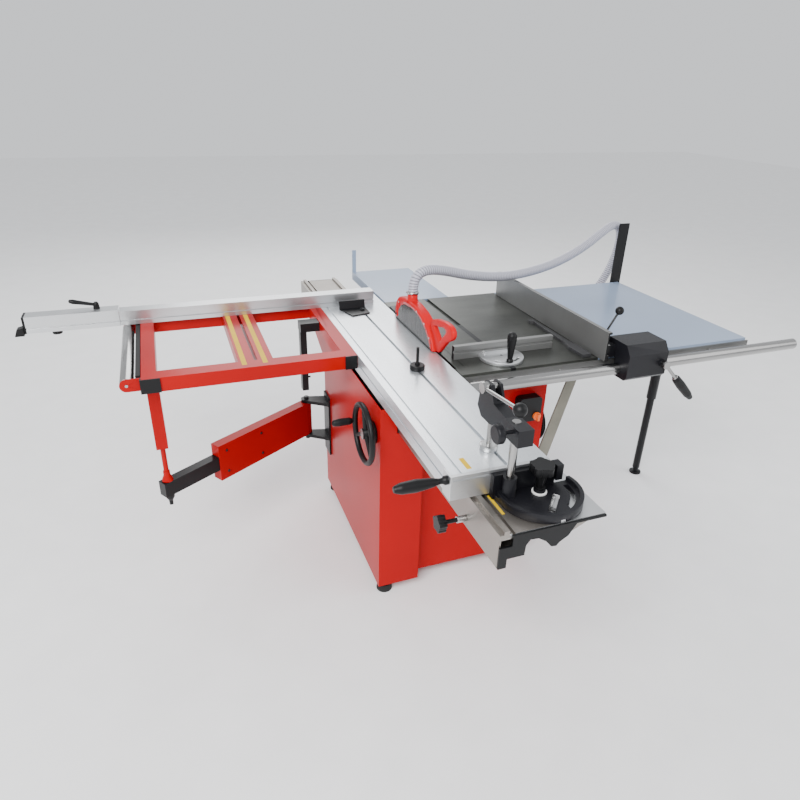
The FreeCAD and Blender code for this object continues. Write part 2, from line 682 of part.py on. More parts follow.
def quadrant_plate():
    "Round cast plate with a raised rim and a curved slot, on a back plate bolted to the carriage."
    low = rail_top + 2
    floor_z, rim_z, back_top = low + 14, low + 26, table_height - 8
    back_left, back_right = 107, 290
    centre = (quadrant_x, quadrant_y, low)

    def disc(radius, base, top):
        return rod(radius, (quadrant_x, quadrant_y, base), (quadrant_x, quadrant_y, top))
    back = block((back_left, back_right), (quadrant_back, -end_bar_thick), (low, back_top))
    side = prism([(back_left + 6, quadrant_back), (back_right - 10, quadrant_back),
                  (quadrant_x + quadrant_radius - 26, quadrant_y + 20), (quadrant_x, quadrant_y),
                  (quadrant_x - quadrant_radius + 1, quadrant_y)], "z", low, floor_z)
    rim = less(disc(quadrant_radius, low, rim_z), disc(quadrant_radius - 10, low - 1, rim_z + 1))
    behind = block((0, 500), (quadrant_back, 300), (low - 1, table_height))
    slot = less(disc(quadrant_radius - 20, low - 1, rim_z), disc(quadrant_radius - 34, low - 1, rim_z))
    slot = slot.common(block((quadrant_x + 40, 500), (-300, quadrant_y + 10), (low - 1, rim_z)))
    plate = less(join(disc(quadrant_radius, low, floor_z), rim, side), behind, slot)
    boss = rod(18, (post_x, post_y, low), (post_x, post_y, back_top))
    end_block = block((back_right - 6, back_right + 14), (quadrant_back - 14, -end_bar_thick),
                      (back_top - 40, back_top + 5))
    knob_boss = rod(16, (quadrant_knob_x, quadrant_knob_y, low), (quadrant_knob_x, quadrant_knob_y, low + 28))
    guide_room = block((rail_right - 13 - guide_width, rail_right - 11), (-400, 0),
                       (low - 1, carriage_bottom + running_gap))
    return less(join(back, plate, boss, end_block, knob_boss), guide_room,
                rod(post_radius + pin_gap, (post_x, post_y, low + 6), (post_x, post_y, table_height)),
                rod(6 + pin_gap, (quadrant_knob_x, quadrant_knob_y, low + 4),
                    (quadrant_knob_x, quadrant_knob_y, low + 40)))


quadrant_knob_x, quadrant_knob_y = 228, -56


def quadrant_knob():
    "Star knob on a tapered stem."
    low = rail_top + 30 + running_gap
    foot = (quadrant_knob_x, quadrant_knob_y, low)
    top = (quadrant_knob_x, quadrant_knob_y, low + 1)
    stem = turned([(-20, 6), (0, 6), (0, 14), (5, 14), (5, 9), (40, 16), (54, 16)], foot, top)
    knob = star_knob(34, 22, (quadrant_knob_x, quadrant_knob_y, low + 50),
                     (quadrant_knob_x, quadrant_knob_y, low + 51), 5)
    return join(stem, knob)


spindle_x, spindle_y = 148, 87
spindle_radius = 7.5
lever_pivot_z = 1056


def clamp_post():
    return rod(post_radius, (post_x, post_y, rail_top + 8), (post_x, post_y, arm_low + arm_tall + 2))


def clamp_arm():
    "Cast arm on the post, with the guide of the clamping spindle at its far end."
    low, high = arm_low, arm_low + arm_tall
    x = (post_x - 16, post_x + 18)
    post_block = block((post_x - 20, post_x + 22), (post_y - 48, post_y + 24), (low, high))
    beam = prism([(post_y, low + 10), (spindle_y - 22, low - 13), (spindle_y + 22, low - 13),
                  (spindle_y + 46, low + 10), (spindle_y + 36, high + 25),
                  (spindle_y + 16, lever_pivot_z + 12),
                  (spindle_y - 16, lever_pivot_z + 12), (spindle_y - 40, high + 6), (post_y, high - 4)],
                 "x", x[0], x[1])
    fork = block((spindle_x - 8, spindle_x + 8), (spindle_y - 46, spindle_y + 46),
                 (lever_pivot_z - 24, lever_pivot_z + 13))
    knob_z = low + 28
    screw = rod(5, (post_x - 46, post_y - 14, knob_z), (post_x - 20, post_y - 14, knob_z))
    disc = turned([(0, 22), (3, 25), (16, 25), (20, 21)], (post_x - 46, post_y - 14, knob_z),
                  (post_x - 47, post_y - 14, knob_z))
    bores = [rod(post_radius + pin_gap, (post_x, post_y, low - 1), (post_x, post_y, high + 1)),
             rod(spindle_radius + pin_gap, (spindle_x, spindle_y, low - 14),
                 (spindle_x, spindle_y, lever_pivot_z - 23)),
             rod(4 + pin_gap, (x[0] - 1, spindle_y, lever_pivot_z), (x[1] + 1, spindle_y, lever_pivot_z))]
    return less(join(less(join(post_block, beam), fork), screw, disc), *bores)


cam_radius = 11
press_travel = 20           # how far the spindle may be pushed up before it meets the cam


def clamp_lever():
    "Cam lever that presses the spindle down, with a ball at its end."
    z = lever_pivot_z
    cam = rod(cam_radius, (spindle_x - 7, spindle_y, z), (spindle_x + 7, spindle_y, z))
    pin = rod(4, (spindle_x - 30, spindle_y, z), (post_x + 22, spindle_y, z))
    disc = rod(15, (spindle_x - 36, spindle_y, z), (post_x - 16 - running_gap, spindle_y, z))
    end = (spindle_x - 29, spindle_y - 178, z + 24)
    stem = rod(5, (spindle_x - 29, spindle_y, z), end)
    return join(cam, pin, disc, stem, Part.makeSphere(17.5, Vector(*end)))


def clamp_spindle():
    "Chromed spindle with its pressure foot."
    low = table_height + running_gap
    top = lever_pivot_z - cam_radius - running_gap - press_travel
    return turned([(0, 24), (2, 25), (14, 25), (17, 20), (17, spindle_radius), (top - low, spindle_radius)],
                  (spindle_x, spindle_y, low), (spindle_x, spindle_y, low + 1))


# ---- outrigger frame ----
roller_x, roller_z, roller_radius = -770, 846, 22
roller_front, roller_rear = frame_front + 24, frame_rear - 68
cross_members = (-410, -345)
cross_width = 54


def outrigger_frame():
    "Welded frame of square tube, open in the middle, with the roller's two ears."
    z = (frame_bottom, table_height)
    left, right = -frame_width, 0

    def tubes(inset):
        low_high = (z[0] + inset, z[1] - inset)
        bars = [block((left + inset, right - inset), (y + inset, y + frame_rail - inset), low_high)
                for y in (frame_front, frame_rear - frame_rail)]
        inner = (frame_front + frame_rail / 2, frame_rear - frame_rail / 2)
        for x, width in ((left, frame_side), (right - frame_side, frame_side),
                         (cross_members[0], cross_width), (cross_members[1], cross_width)):
            bars.append(block((x + inset, x + width - inset), inner, low_high))
        return bars
    outer = tubes(0)
    frame = join(outer[0], *outer[1:])
    frame = less(frame, *tubes(tube_wall))
    ear_thick, ear_radius = 6, 22
    for y in (roller_front - ear_thick - 1, roller_rear + 1):
        flat = block((roller_x, left), (y, y + ear_thick), (roller_z - ear_radius, roller_z + ear_radius))
        round_end = rod(ear_radius, (roller_x, y, roller_z), (roller_x, y + ear_thick, roller_z))
        hole = rod(5 + pin_gap, (roller_x, y - 1, roller_z), (roller_x, y + ear_thick + 1, roller_z))
        frame = join(frame, less(join(flat, round_end), hole))
    return less(frame, rod(swivel_radius + pin_gap, (swivel_x, swivel_y, table_height - tube_wall - 1),
                           (swivel_x, swivel_y, table_height + 1)))


def outrigger_caps():
    "Moulded plugs on the front rail's ends and the strip beside the roller."
    z = (frame_bottom, table_height)
    thick = 5
    left = block((-frame_width - thick, -frame_width), (frame_front, frame_front + 16), z)
    front_left = block((-frame_width - thick, -frame_width + 58), (frame_front - thick, frame_front), z)
    front_right = block((-46, -2), (frame_front - thick, frame_front), z)
    strip = block((-frame_width - 14, -frame_width), (roller_front + 20, roller_rear - 20),
                  (table_height - 42, table_height - 14))
    return group(join(left, front_left), front_right, strip)


def outrigger_roller():
    "Roller with a short pin at each end."
    pin = 8
    length = roller_rear - roller_front
    return turned([(-pin, 5), (0, 5), (0, roller_radius - 2), (2, roller_radius),
                   (length - 2, roller_radius), (length, roller_radius - 2), (length, 5),
                   (length + pin, 5)], (roller_x, roller_front, roller_z), (roller_x, roller_front + 1,
                                                                           roller_z))


arm_top = arm_z + arm_bar_tall / 2


def outrigger_leg():
    "Square tube under the frame, with the screwed foot that stands over the arm's end."
    half = 20
    tube_low = 560
    tube_part = block((leg_x - half, leg_x + half), (leg_y - half, leg_y + half), (tube_low, frame_bottom))
    top = arm_top + running_gap
    foot = turned([(0, 20), (5, 20), (24, 12), (40, 12), (40, 9), (tube_low - top, 9)],
                  (leg_x, leg_y, top), (leg_x, leg_y, top + 1))
    return join(tube_part, foot)


def outrigger_clamp():
    "Black stop bar that hangs from the frame's right tube."
    y = (1205, 1240)
    bar = block((-126, -100), y, (566, table_height - 4))
    bracket = block((-126, -frame_side), (y[0] - 10, y[1] + 10), (table_height - 40, table_height - 4))
    screw = rod(4, (-100, sum(y) / 2, 620), (-88, sum(y) / 2, 620))
    return join(bar, bracket, screw)


# ---- crosscut fence ----
cross_y, cross_thick, cross_tall = 1364, 58, 55
cross_left, cross_right = -794, 236
extension_length = 324
swivel_x, swivel_y = -24, 1406
swivel_radius = 7
lever_x = -872


def crosscut_fence():
    "Hollow extruded fence on the outrigger and the carriage, with its swivel pin."
    low = table_height + running_gap
    y = (cross_y, cross_y + cross_thick)
    body = block((cross_left, cross_right), y, (low, low + cross_tall))
    wall = 4
    past = (cross_left - 1, cross_right + 1)
    hollow = block(past, (y[0] + wall + 6, y[1] - wall), (low + wall, low + cross_tall - wall))
    groove = block(past, (y[0] - 1, y[0] + 6), (low + 16, low + 22))
    pin = rod(swivel_radius, (swivel_x, swivel_y, table_height - 14), (swivel_x, swivel_y, low + wall))
    return join(less(body, hollow, groove), pin)


def fence_extension():
    "Telescopic end of the fence: a bar inside the fence and the taller sleeve outside it."
    low = table_height + running_gap
    gap = 0.5
    wall = 4
    bar = block((cross_left - 4, cross_left + 420),
                (cross_y + wall + 6 + gap, cross_y + cross_thick - wall - gap),
                (low + wall + gap, low + cross_tall - wall - gap))
    bar_hollow = block((cross_left - 5, cross_left + 421),
                       (cross_y + wall + 12, cross_y + cross_thick - wall - 6),
                       (low + wall + 6, low + cross_tall - wall - 6))
    sleeve = block((cross_left - extension_length, cross_left - running_gap),
                   (cross_y - 3, cross_y + cross_thick + 3), (low, low + cross_tall + 8))
    hollow = block((cross_left - extension_length - 1, cross_left - 20),
                   (cross_y + 8, cross_y + cross_thick - 4), (low + 5, low + cross_tall + 3))
    groove = block((cross_left - extension_length - 1, cross_left), (cross_y - 4, cross_y + 3),
                   (low + 16, low + 22))
    lever_hole = rod(5 + pin_gap, (lever_x, swivel_y, low + cross_tall - 6),
                     (lever_x, swivel_y, low + cross_tall + 9))
    return less(join(less(sleeve, hollow, groove), less(bar, bar_hollow)), lever_hole)


def extension_stop():
    "Moulded end cap with its stop nose, and the clamp knob under the sleeve."
    low = table_height + running_gap
    left = cross_left - extension_length
    cap = block((left - 8, left), (cross_y - 3, cross_y + cross_thick + 3), (low, low + cross_tall + 8))
    nose = prism([(left - 40, low - 6), (left - 8, low - 6), (left - 8, low + 26), (left - 30, low + 20)],
                 "y", cross_y - 10, cross_y + 24)
    knob_x = left + 95
    knob = turned([(0, 17), (12, 19), (14, 8), (22, 8)], (knob_x, swivel_y, low - 22),
                  (knob_x, swivel_y, low))
    return group(join(cap, nose), knob)


def fence_lever():
    "Ratchet lever that clamps the telescopic end."
    base = table_height + running_gap + cross_tall + 8
    hub = turned([(-12, 5), (running_gap, 5), (running_gap, 12), (20, 10), (26, 6)],
                 (lever_x, swivel_y, base), (lever_x, swivel_y, base + 1))
    grip = turned([(0, 6), (40, 7), (80, 9), (92, 7), (95, 3)], (lever_x, swivel_y, base + 15),
                  (lever_x - 78, swivel_y, base + 33))
    return join(hub, grip)


# ---- swing arm under the outrigger ----
arm_angle = math.degrees(math.atan2(leg_y - pivot_y, leg_x - pivot_x))
arm_reach = math.hypot(leg_x - pivot_x, leg_y - pivot_y)
pivot_pin = 10
pivot_tube = 20
lug_thick = 14


def arm_bracket():
    "Black bracket on the cabinet's left wall, with two lugs and the hinge pin."
    half = arm_box_tall / 2
    plate = block((cabinet_left - 8, cabinet_left), (cabinet_rear - 90, cabinet_rear - 4),
                  (arm_z - half - 90, arm_z + half + 40))
    lugs = []
    for z in (arm_z - half - running_gap - lug_thick, arm_z + half + running_gap):
        outline = [(cabinet_left - 8, cabinet_rear - 90), (cabinet_left - 8, cabinet_rear - 4),
                   (pivot_x - 6, pivot_y + 22), (pivot_x - 22, pivot_y + 12), (pivot_x - 22, pivot_y - 12),
                   (pivot_x - 6, pivot_y - 24)]
        lugs.append(prism(outline, "z", z, z + lug_thick))
    pin = rod(pivot_pin, (pivot_x, pivot_y, arm_z - half - 30), (pivot_x, pivot_y, arm_z + half + 24))
    return join(plate, *lugs, pin)


def arm_outer():
    "Box of the telescopic arm, welded to its hinge tube."
    half = arm_box_tall / 2
    z = (arm_z - half, arm_z + half)
    tube_outer = rod(pivot_tube, (0, 0, z[0]), (0, 0, z[1]))
    box = block((12, arm_box_reach), (-arm_box_thick / 2, arm_box_thick / 2), z)
    bore = rod(pivot_pin + pin_gap, (0, 0, z[0] - 1), (0, 0, z[1] + 1))
    room = 0.5
    channel = block((24, arm_box_reach + 1), (-arm_bar_thick / 2 - room, arm_bar_thick / 2 + room),
                    (arm_z - arm_bar_tall / 2 - room, arm_z + arm_bar_tall / 2 + room))
    upper = block((30, arm_box_reach - 12), (-arm_box_thick / 2 + 4, arm_box_thick / 2 - 4),
                  (arm_z + arm_bar_tall / 2 + 5, z[1] - 4))
    lower = block((30, arm_box_reach - 12), (-arm_box_thick / 2 + 4, arm_box_thick / 2 - 4),
                  (z[0] + 4, arm_z - arm_bar_tall / 2 - 5))
    arm = less(join(tube_outer, box), bore, channel, upper, lower)
    arm.rotate(Vector(0, 0, 0), ALONG["z"], arm_angle)
    arm.translate(Vector(pivot_x, pivot_y, 0))
    return arm


def arm_inner():
    "Square bar that slides in the box, with the bolt under its end."
    half = arm_bar_tall / 2
    bar = block((150, arm_reach + 26), (-arm_bar_thick / 2, arm_bar_thick / 2), (arm_z - half, arm_z + half))
    hollow = block((149, arm_reach - 30), (-arm_bar_thick / 2 + 4, arm_bar_thick / 2 - 4),
                   (arm_z - half + 4, arm_z + half - 4))
    bolt = turned([(0, 16), (14, 16), (30, 8), (48, 7)], (arm_reach, 0, arm_z - half),
                  (arm_reach, 0, arm_z - half - 1))
    arm = join(less(bar, hollow), bolt)
    arm.rotate(Vector(0, 0, 0), ALONG["z"], arm_angle)
    arm.translate(Vector(pivot_x, pivot_y, 0))
    return arm


# ---- saw unit ----
pivot_z = table_height
arc_half = 8                # half the radial width of a tilting arc
arc_depth = 10
bracket_thick = 16
bracket_front, bracket_rear = 656, 1280     # outer faces of the two trunnion brackets
plate_thick = 12
arbor_radius = 15
pulley_x, pulley_width = blade_x + 76, 24
arbor_pulley, motor_pulley_radius = 33, 46
motor_y, motor_z = 770, arbor_z - 175
motor_radius, motor_left, motor_length = 70, 100, 178
motor_shaft = 10
column_x = blade_x + 44
column_radius = 12
column_ys = (arbor_y - 130, arbor_y + 130)
column_low, column_high = 450, 780
gear_left, gear_right, gear_low, gear_high = 280, 330, 640, 684


def trunnions():
    "Two cast brackets under the table, each with a curved groove, and the tilting gear's housing."
    low_angle, sweep = -22, 97
    rim = 25
    brackets = []
    for outer, inward in ((bracket_front, 1), (bracket_rear, -1)):
        inner = outer + inward * bracket_thick
        y = (min(outer, inner), max(outer, inner) - running_gap)
        y = y if inward > 0 else (y[0] + running_gap, y[1] + running_gap)
        centre = (blade_x, y[0], pivot_z)
        sector = ring_sector(tilt_radius - rim, tilt_radius + rim, y[1] - y[0], centre, low_angle, sweep)
        web = block((blade_x + 100, blade_x + 230), y, (table_height - 180, table_height - table_plate))
        web = less(web, rod(tilt_radius - 20, (blade_x, y[0] - 1, pivot_z), (blade_x, y[1] + 1, pivot_z)))
        foot = block((blade_x + 195, blade_x + 260), y, (table_height - 60, table_height - table_plate))
        groove_y = inner - arc_depth - running_gap if inward > 0 else inner - 1
        groove = ring_sector(tilt_radius - arc_half - running_gap, tilt_radius + arc_half + running_gap,
                             arc_depth + running_gap + 1, (blade_x, groove_y, pivot_z),
                             low_angle - 2, sweep + 4)
        brackets.append(less(join(sector, web, foot), groove))
    gear = block((gear_left, gear_right), (wheel_y - 16, bracket_front), (gear_low, gear_high))
    bore = rod(wheel_shaft + pin_gap, (gear_left - 1, wheel_y, wheel_z), (gear_right - 10, wheel_y, wheel_z))
    return group(less(join(gear, brackets[0]), bore), brackets[1])


def tilt_carrier():
    "Casting between the trunnions: end plates with arc ribs, and two columns between bars."
    start, sweep = -16, 32
    right = column_x + 15
    outline = [(column_x - 68, column_high), (right, column_high), (right, column_low),
               (blade_x - 58, column_low), (blade_x - 58, rail_bottom - 13),
               (column_x - 68, rail_bottom - 13)]
    front, rear = bracket_front + bracket_thick, bracket_rear - bracket_thick
    parts = []
    for y, rib_y in ((front, front - arc_depth), (rear - plate_thick, rear - 1)):
        parts.append(prism(outline, "y", y, y + plate_thick))
        parts.append(ring_sector(tilt_radius - arc_half, tilt_radius + arc_half, arc_depth + 1,
                                 (blade_x, rib_y, pivot_z), start, sweep))
    inner = (front + plate_thick, rear - plate_thick)
    bar_x = (column_x - 10, column_x + 10)
    parts.append(block(bar_x, inner, (column_low, column_low + 20)))
    for y, end in zip(column_ys, inner):
        reach = (min(y - 14, end), max(y + 14, end))
        parts.append(block(bar_x, reach, (column_high - 20, column_high)))
        parts.append(rod(column_radius, (column_x, y, column_low), (column_x, y, column_high)))
    return join(parts[0], *parts[1:])


def rise_carrier():
    "Casting on the columns that holds the arbor's bearing, the motor and the riving knife."
    left, right = blade_x + 14, blade_x + 26
    sleeve_low, sleeve_high = motor_z + 20, motor_z + 80
    plate = prism([(motor_y - 45, motor_z - 45), (motor_y + 45, motor_z - 45),
                   (column_ys[1] + 30, sleeve_low + 5), (column_ys[1] + 30, sleeve_high),
                   (arbor_y + 40, sleeve_high + 40), (arbor_y + 30, arbor_z), (arbor_y - 30, arbor_z),
                   (arbor_y - 40, sleeve_high + 40), (column_ys[0] - 30, sleeve_high),
                   (motor_y - 45, motor_z + 45)], "x", left, right)
    housing = rod(30, (blade_x + 12, arbor_y, arbor_z), (pulley_x - pulley_width / 2 - 2, arbor_y, arbor_z))
    sleeves = [rod(18, (column_x, y, sleeve_low), (column_x, y, sleeve_high)) for y in column_ys]
    knife_pad = block((blade_x + knife_thick / 2, right), (knife_stem_y, knife_stem_y + 32),
                      (motor_z + 36, motor_z + 70))
    cuts = [rod(column_radius + pin_gap, (column_x, y, sleeve_low - 1), (column_x, y, sleeve_high + 1))
            for y in column_ys]
    cuts.append(rod(arbor_radius + pin_gap, (blade_x, arbor_y, arbor_z), (pulley_x, arbor_y, arbor_z)))
    cuts.append(rod(motor_shaft + 2, (left - 1, motor_y, motor_z), (right + 1, motor_y, motor_z)))
    return less(join(plate, housing, knife_pad, *sleeves), *cuts)


knife_thick = 2.4
knife_width = 38            # from the blade edge to the back of the riving knife
knife_stem_y = arbor_y + 128


def riving_knife():
    "Steel blade behind the saw blade, fixed to the rise casting."
    inner, outer = blade_radius + 5, blade_radius + knife_width
    x = (blade_x - knife_thick / 2, blade_x + knife_thick / 2)
    ring = less(rod(outer, (x[0], arbor_y, arbor_z), (x[1], arbor_y, arbor_z)),
                rod(inner, (x[0] - 1, arbor_y, arbor_z), (x[1] + 1, arbor_y, arbor_z)))
    keep = block((x[0] - 1, x[1] + 1), (arbor_y + 60, arbor_y + 300), (arbor_z - 100, arbor_z + 125))
    stem = block(x, (knife_stem_y, knife_stem_y + 48), (motor_z + 36, arbor_z - 95))
    return join(ring.common(keep), stem)


def arbor():
    "Turned shaft with the nut, both clamp flanges and the pulley."
    start = blade_x - 24

    def at(x):
        return x - start
    left, right = at(blade_x - blade_kerf / 2), at(blade_x + blade_kerf / 2)
    pulley = (at(pulley_x - pulley_width / 2), at(pulley_x + pulley_width / 2))
    shaft = [(0, 12), (left - 4, 12), (left - 4, 32), (left, 32), (left, arbor_radius),
             (right, arbor_radius), (right, 36), (right + 9, 36), (right + 9, arbor_radius),
             (pulley[0], arbor_radius), (pulley[0], arbor_pulley), (pulley[1], arbor_pulley),
             (pulley[1], arbor_radius), (pulley[1] + 4, arbor_radius)]
    return turned(shaft, (start, arbor_y, arbor_z), (blade_x, arbor_y, arbor_z))


def saw_blade():
    "Toothed disc: round gullets between the teeth, and the arbor hole."
    x = (blade_x - blade_kerf / 2, blade_x + blade_kerf / 2)
    disc = rod(blade_radius, (x[0], arbor_y, arbor_z), (x[1], arbor_y, arbor_z))
    cutters = [rod(arbor_radius + pin_gap, (x[0] - 1, arbor_y, arbor_z), (x[1] + 1, arbor_y, arbor_z))]
    teeth, gullet = 24, 9
    for number in range(teeth):
        angle = 2 * math.pi * number / teeth
        y = arbor_y + blade_radius * math.cos(angle)
        z = arbor_z + blade_radius * math.sin(angle)
        cutters.append(rod(gullet, (x[0] - 1, y, z), (x[1] + 1, y, z)))
    return less(disc, *cutters)


def motor():
    "Finned motor body with the boss that bolts to the rise casting."
    right = motor_left + motor_length
    fin, fin_depth, shoulder = 12, 4, 8
    profile = [(0, motor_radius * 0.8), (shoulder, motor_radius)]
    for number in range(int((motor_length - 2 * shoulder - fin) / fin)):
        start = shoulder + 4 + number * fin
        profile += [(start, motor_radius), (start + fin / 2, motor_radius),
                    (start + fin / 2, motor_radius - fin_depth), (start + fin, motor_radius - fin_depth)]
    profile += [(motor_length - shoulder, motor_radius), (motor_length, motor_radius * 0.8)]
    body = turned(profile, (motor_left, motor_y, motor_z), (right, motor_y, motor_z))
    boss = rod(34, (right - 2, motor_y, motor_z), (blade_x + 14, motor_y, motor_z))
    bore = rod(motor_shaft + pin_gap, (right - 60, motor_y, motor_z), (blade_x + 15, motor_y, motor_z))
    return less(join(body, boss), bore)


def motor_pulley():
    "Motor shaft and its pulley."
    x = (pulley_x - pulley_width / 2, pulley_x + pulley_width / 2)
    shaft = rod(motor_shaft, (motor_left + motor_length - 55, motor_y, motor_z), (x[1] + 4, motor_y, motor_z))
    return join(shaft, rod(motor_pulley_radius, (x[0], motor_y, motor_z), (x[1], motor_y, motor_z)))


def drive_belt():
    "Poly-V belt around the two pulleys: the straight runs are their outer tangents."
    x = (pulley_x - pulley_width / 2 + 2, pulley_x + pulley_width / 2 - 2)
    away = math.hypot(arbor_y - motor_y, arbor_z - motor_z)
    heading = math.atan2(arbor_z - motor_z, arbor_y - motor_y)

    def loop(extra):
        small, large = arbor_pulley + extra, motor_pulley_radius + extra
        lean = math.acos((large - small) / away)
        corners = [(motor_y + large * math.cos(heading + lean), motor_z + large * math.sin(heading + lean)),
                   (arbor_y + small * math.cos(heading + lean), arbor_z + small * math.sin(heading + lean)),
                   (arbor_y + small * math.cos(heading - lean), arbor_z + small * math.sin(heading - lean)),
                   (motor_y + large * math.cos(heading - lean), motor_z + large * math.sin(heading - lean))]
        return join(prism(corners, "x", x[0], x[1]),
                    rod(small, (x[0], arbor_y, arbor_z), (x[1], arbor_y, arbor_z)),
                    rod(large, (x[0], motor_y, motor_z), (x[1], motor_y, motor_z)))
    return less(loop(running_gap + 4), loop(running_gap))


# ---- blade guard and hose ----
guard_left, guard_right = 264, 306
guard_wall = 4
guard_handle_thick = 20
guard_low = table_height + 4
port_y, port_radius = 1020, 20
port_top = guard_low + 140
hinge_y, hinge_z, hinge_pin = 1140, guard_low + 20, 5


def guard_outline(inset):
    "Side view of the guard: low nose in front, arch over the blade, square heel behind."
    base = guard_low
    low = base if inset == 0 else base - 1
    return [(755 + inset * 2, low), (1150 - inset, low), (1165 - inset, base + 31),
            (1158 - inset, base + 66), (1128 - inset, base + 100 - inset), (1060, base + 114 - inset),
            (970, base + 116 - inset), (890, base + 104 - inset), (826, base + 82 - inset),
            (775 + inset * 2, base + 38)]


def blade_guard():
    "Hollow guard with its loop handle and the hose port."
    middle = (guard_left + guard_right) / 2
    body = prism(guard_outline(0), "x", guard_left, guard_right)
    hollow = prism(guard_outline(guard_wall), "x", guard_left + guard_wall, guard_right - guard_wall)
    base, half = guard_low, guard_handle_thick / 2
    handle = prism([(757, base), (835, base + 86), (800, base + 108), (759, base + 122),
                    (690, base + 136), (636, base + 136), (612, base + 120), (622, base + 92),
                    (668, base + 70), (712, base + 26), (735, base)],
                   "x", middle - half, middle + half)
    finger = prism([(782, base + 88), (688, base + 102), (729, base + 54)], "x", guard_left, guard_right)
    port = rod(port_radius, (middle, port_y, base + 110), (middle, port_y, port_top))
    port_bore = rod(port_radius - guard_wall, (middle, port_y, base + 106),
                    (middle, port_y, port_top + 1))
    body = join(less(join(body, port), hollow, port_bore), less(handle, finger, hollow))
    return less(body, rod(hinge_pin + pin_gap, (guard_left - 1, hinge_y, hinge_z),
                          (guard_right + 1, hinge_y, hinge_z)))


def guard_shoe():
    "Bracket on the table behind the blade, with the pin that the guard hinges on."
    thick = 6
    top = table_height + thick
    cheek_x = (guard_right + running_gap, guard_right + running_gap + thick)
    rear = table_front + 745
    base = block((table_left + 1, cheek_x[1]), (hinge_y + 32, rear), (table_height, top))
    stop = block((guard_left + 18, guard_right - 8), (hinge_y + 32, hinge_y + 72), (top, top + 28))
    cheek = block(cheek_x, (hinge_y - 12, rear - 40), (table_height + 0.5, hinge_z + 11))
    pin = rod(hinge_pin, (guard_left - 2, hinge_y, hinge_z), (cheek_x[1], hinge_y, hinge_z))
    return join(base, stop, cheek, pin)


def hose_arcs(points):
    "Path of straight runs joined by tangent arcs; each arc is as large as its two runs allow."
    points = [Vector(*p) for p in points]
    edges, last, radii = [], points[0], []
    for before, corner, after in zip(points, points[1:], points[2:]):
        back, ahead = (before - corner), (after - corner)
        setback = 0.45 * min(back.Length, ahead.Length)
        back.normalize()
        ahead.normalize()
        half_turn = (math.pi - back.getAngle(ahead)) / 2
        radius = setback / math.tan(half_turn)
        radii.append(radius)
        begin, end = corner + back * setback, corner + ahead * setback
        middle_way = back + ahead
        middle_way.normalize()
        centre = corner + middle_way * (radius / math.cos(half_turn))
        middle = centre - middle_way * radius
        edges.append(Part.LineSegment(last, begin).toShape())
        edges.append(Part.Arc(begin, middle, end).toShape())
        last = end
    edges.append(Part.LineSegment(last, points[-1]).toShape())
    return Part.Wire(edges), radii


hose_start = ((guard_left + guard_right) / 2, port_y, port_top + running_gap)
hose_route = [hose_start, (285, 1020, 1050), (305, 1026, 1086), (352, 1040, 1098), (434, 1063, 1082),
              (560, 1102, 1042), (740, 1157, 1006), (930, 1215, 1002), (1110, 1270, 1024),
              (1270, 1322, 1070), (1390, 1368, 1120), (1468, 1400, 1148), (1522, 1412, 1140),
              (1546, 1420, 1092), (1545, 1424, 1016), (1522, 1428, 920), (1470, 1432, 820),
              (1370, 1436, 720), (1220, 1440, 645), (1050, 1444, 600), (880, 1448, 576),
              (760, 1443, 567), (668, 1446, 562), (601, 1424, 560), (inlet_x, 1377, inlet_z),
              (inlet_x, cabinet_rear + 12, inlet_z)]


def dust_hose():
    "Flexible hose from the guard over the post and down to the cabinet's back."
    path, radii = hose_arcs(hose_route)
    start, heading = Vector(*hose_route[0]), Vector(*hose_route[1]) - Vector(*hose_route[0])
    section = Part.Wire([Part.Circle(start, heading, hose_radius).toShape()])
    hose = path.makePipeShell([section], True, False)
    print("hose length %.0f, radii %s" % (path.Length, " ".join("%.0f" % r for r in radii)))
    print("hose volume ratio %.4f" % (hose.Volume / (math.pi * hose_radius ** 2 * path.Length)))
    return hose


def hose_post():
    "Flat steel post on the side table's rear skirt that holds the hose up."
    width, thick, top = 55, 8, 290
    right = side_table_right + 14
    return block((right - width, right), (table_rear, table_rear + thick),
                 (table_height - fold, table_height + top))


# ---- controls ----
switch_left, switch_width, switch_low, switch_tall, switch_deep = 520, 92, 650, 95, 36
dial_x, dial_z, dial_radius = 594, 670, 15


def switch_box():
    "Moulded switch housing with rounded corners."
    box = block((switch_left, switch_left + switch_width), (cabinet_front - switch_deep, cabinet_front),
                (switch_low, switch_low + switch_tall))
    upright = [edge for edge in box.Edges if abs(edge.tangentAt(0).y) > 0.9]
    box = box.makeFillet(14, upright)
    return less(box, rod(5 + pin_gap, (dial_x, cabinet_front - switch_deep - 1, dial_z),
                         (dial_x, cabinet_front - 10, dial_z)))


def switch_dial():
    "Rotary main switch."
    front = cabinet_front - switch_deep - running_gap
    disc = rod(dial_radius, (dial_x, front - 8, dial_z), (dial_x, front, dial_z))
    grip = block((dial_x - 4, dial_x + 4), (front - 20, front - 7), (dial_z - 13, dial_z + 13))
    pin = rod(5, (dial_x, front - 1, dial_z), (dial_x, cabinet_front - 12, dial_z))
    return join(disc, grip, pin)


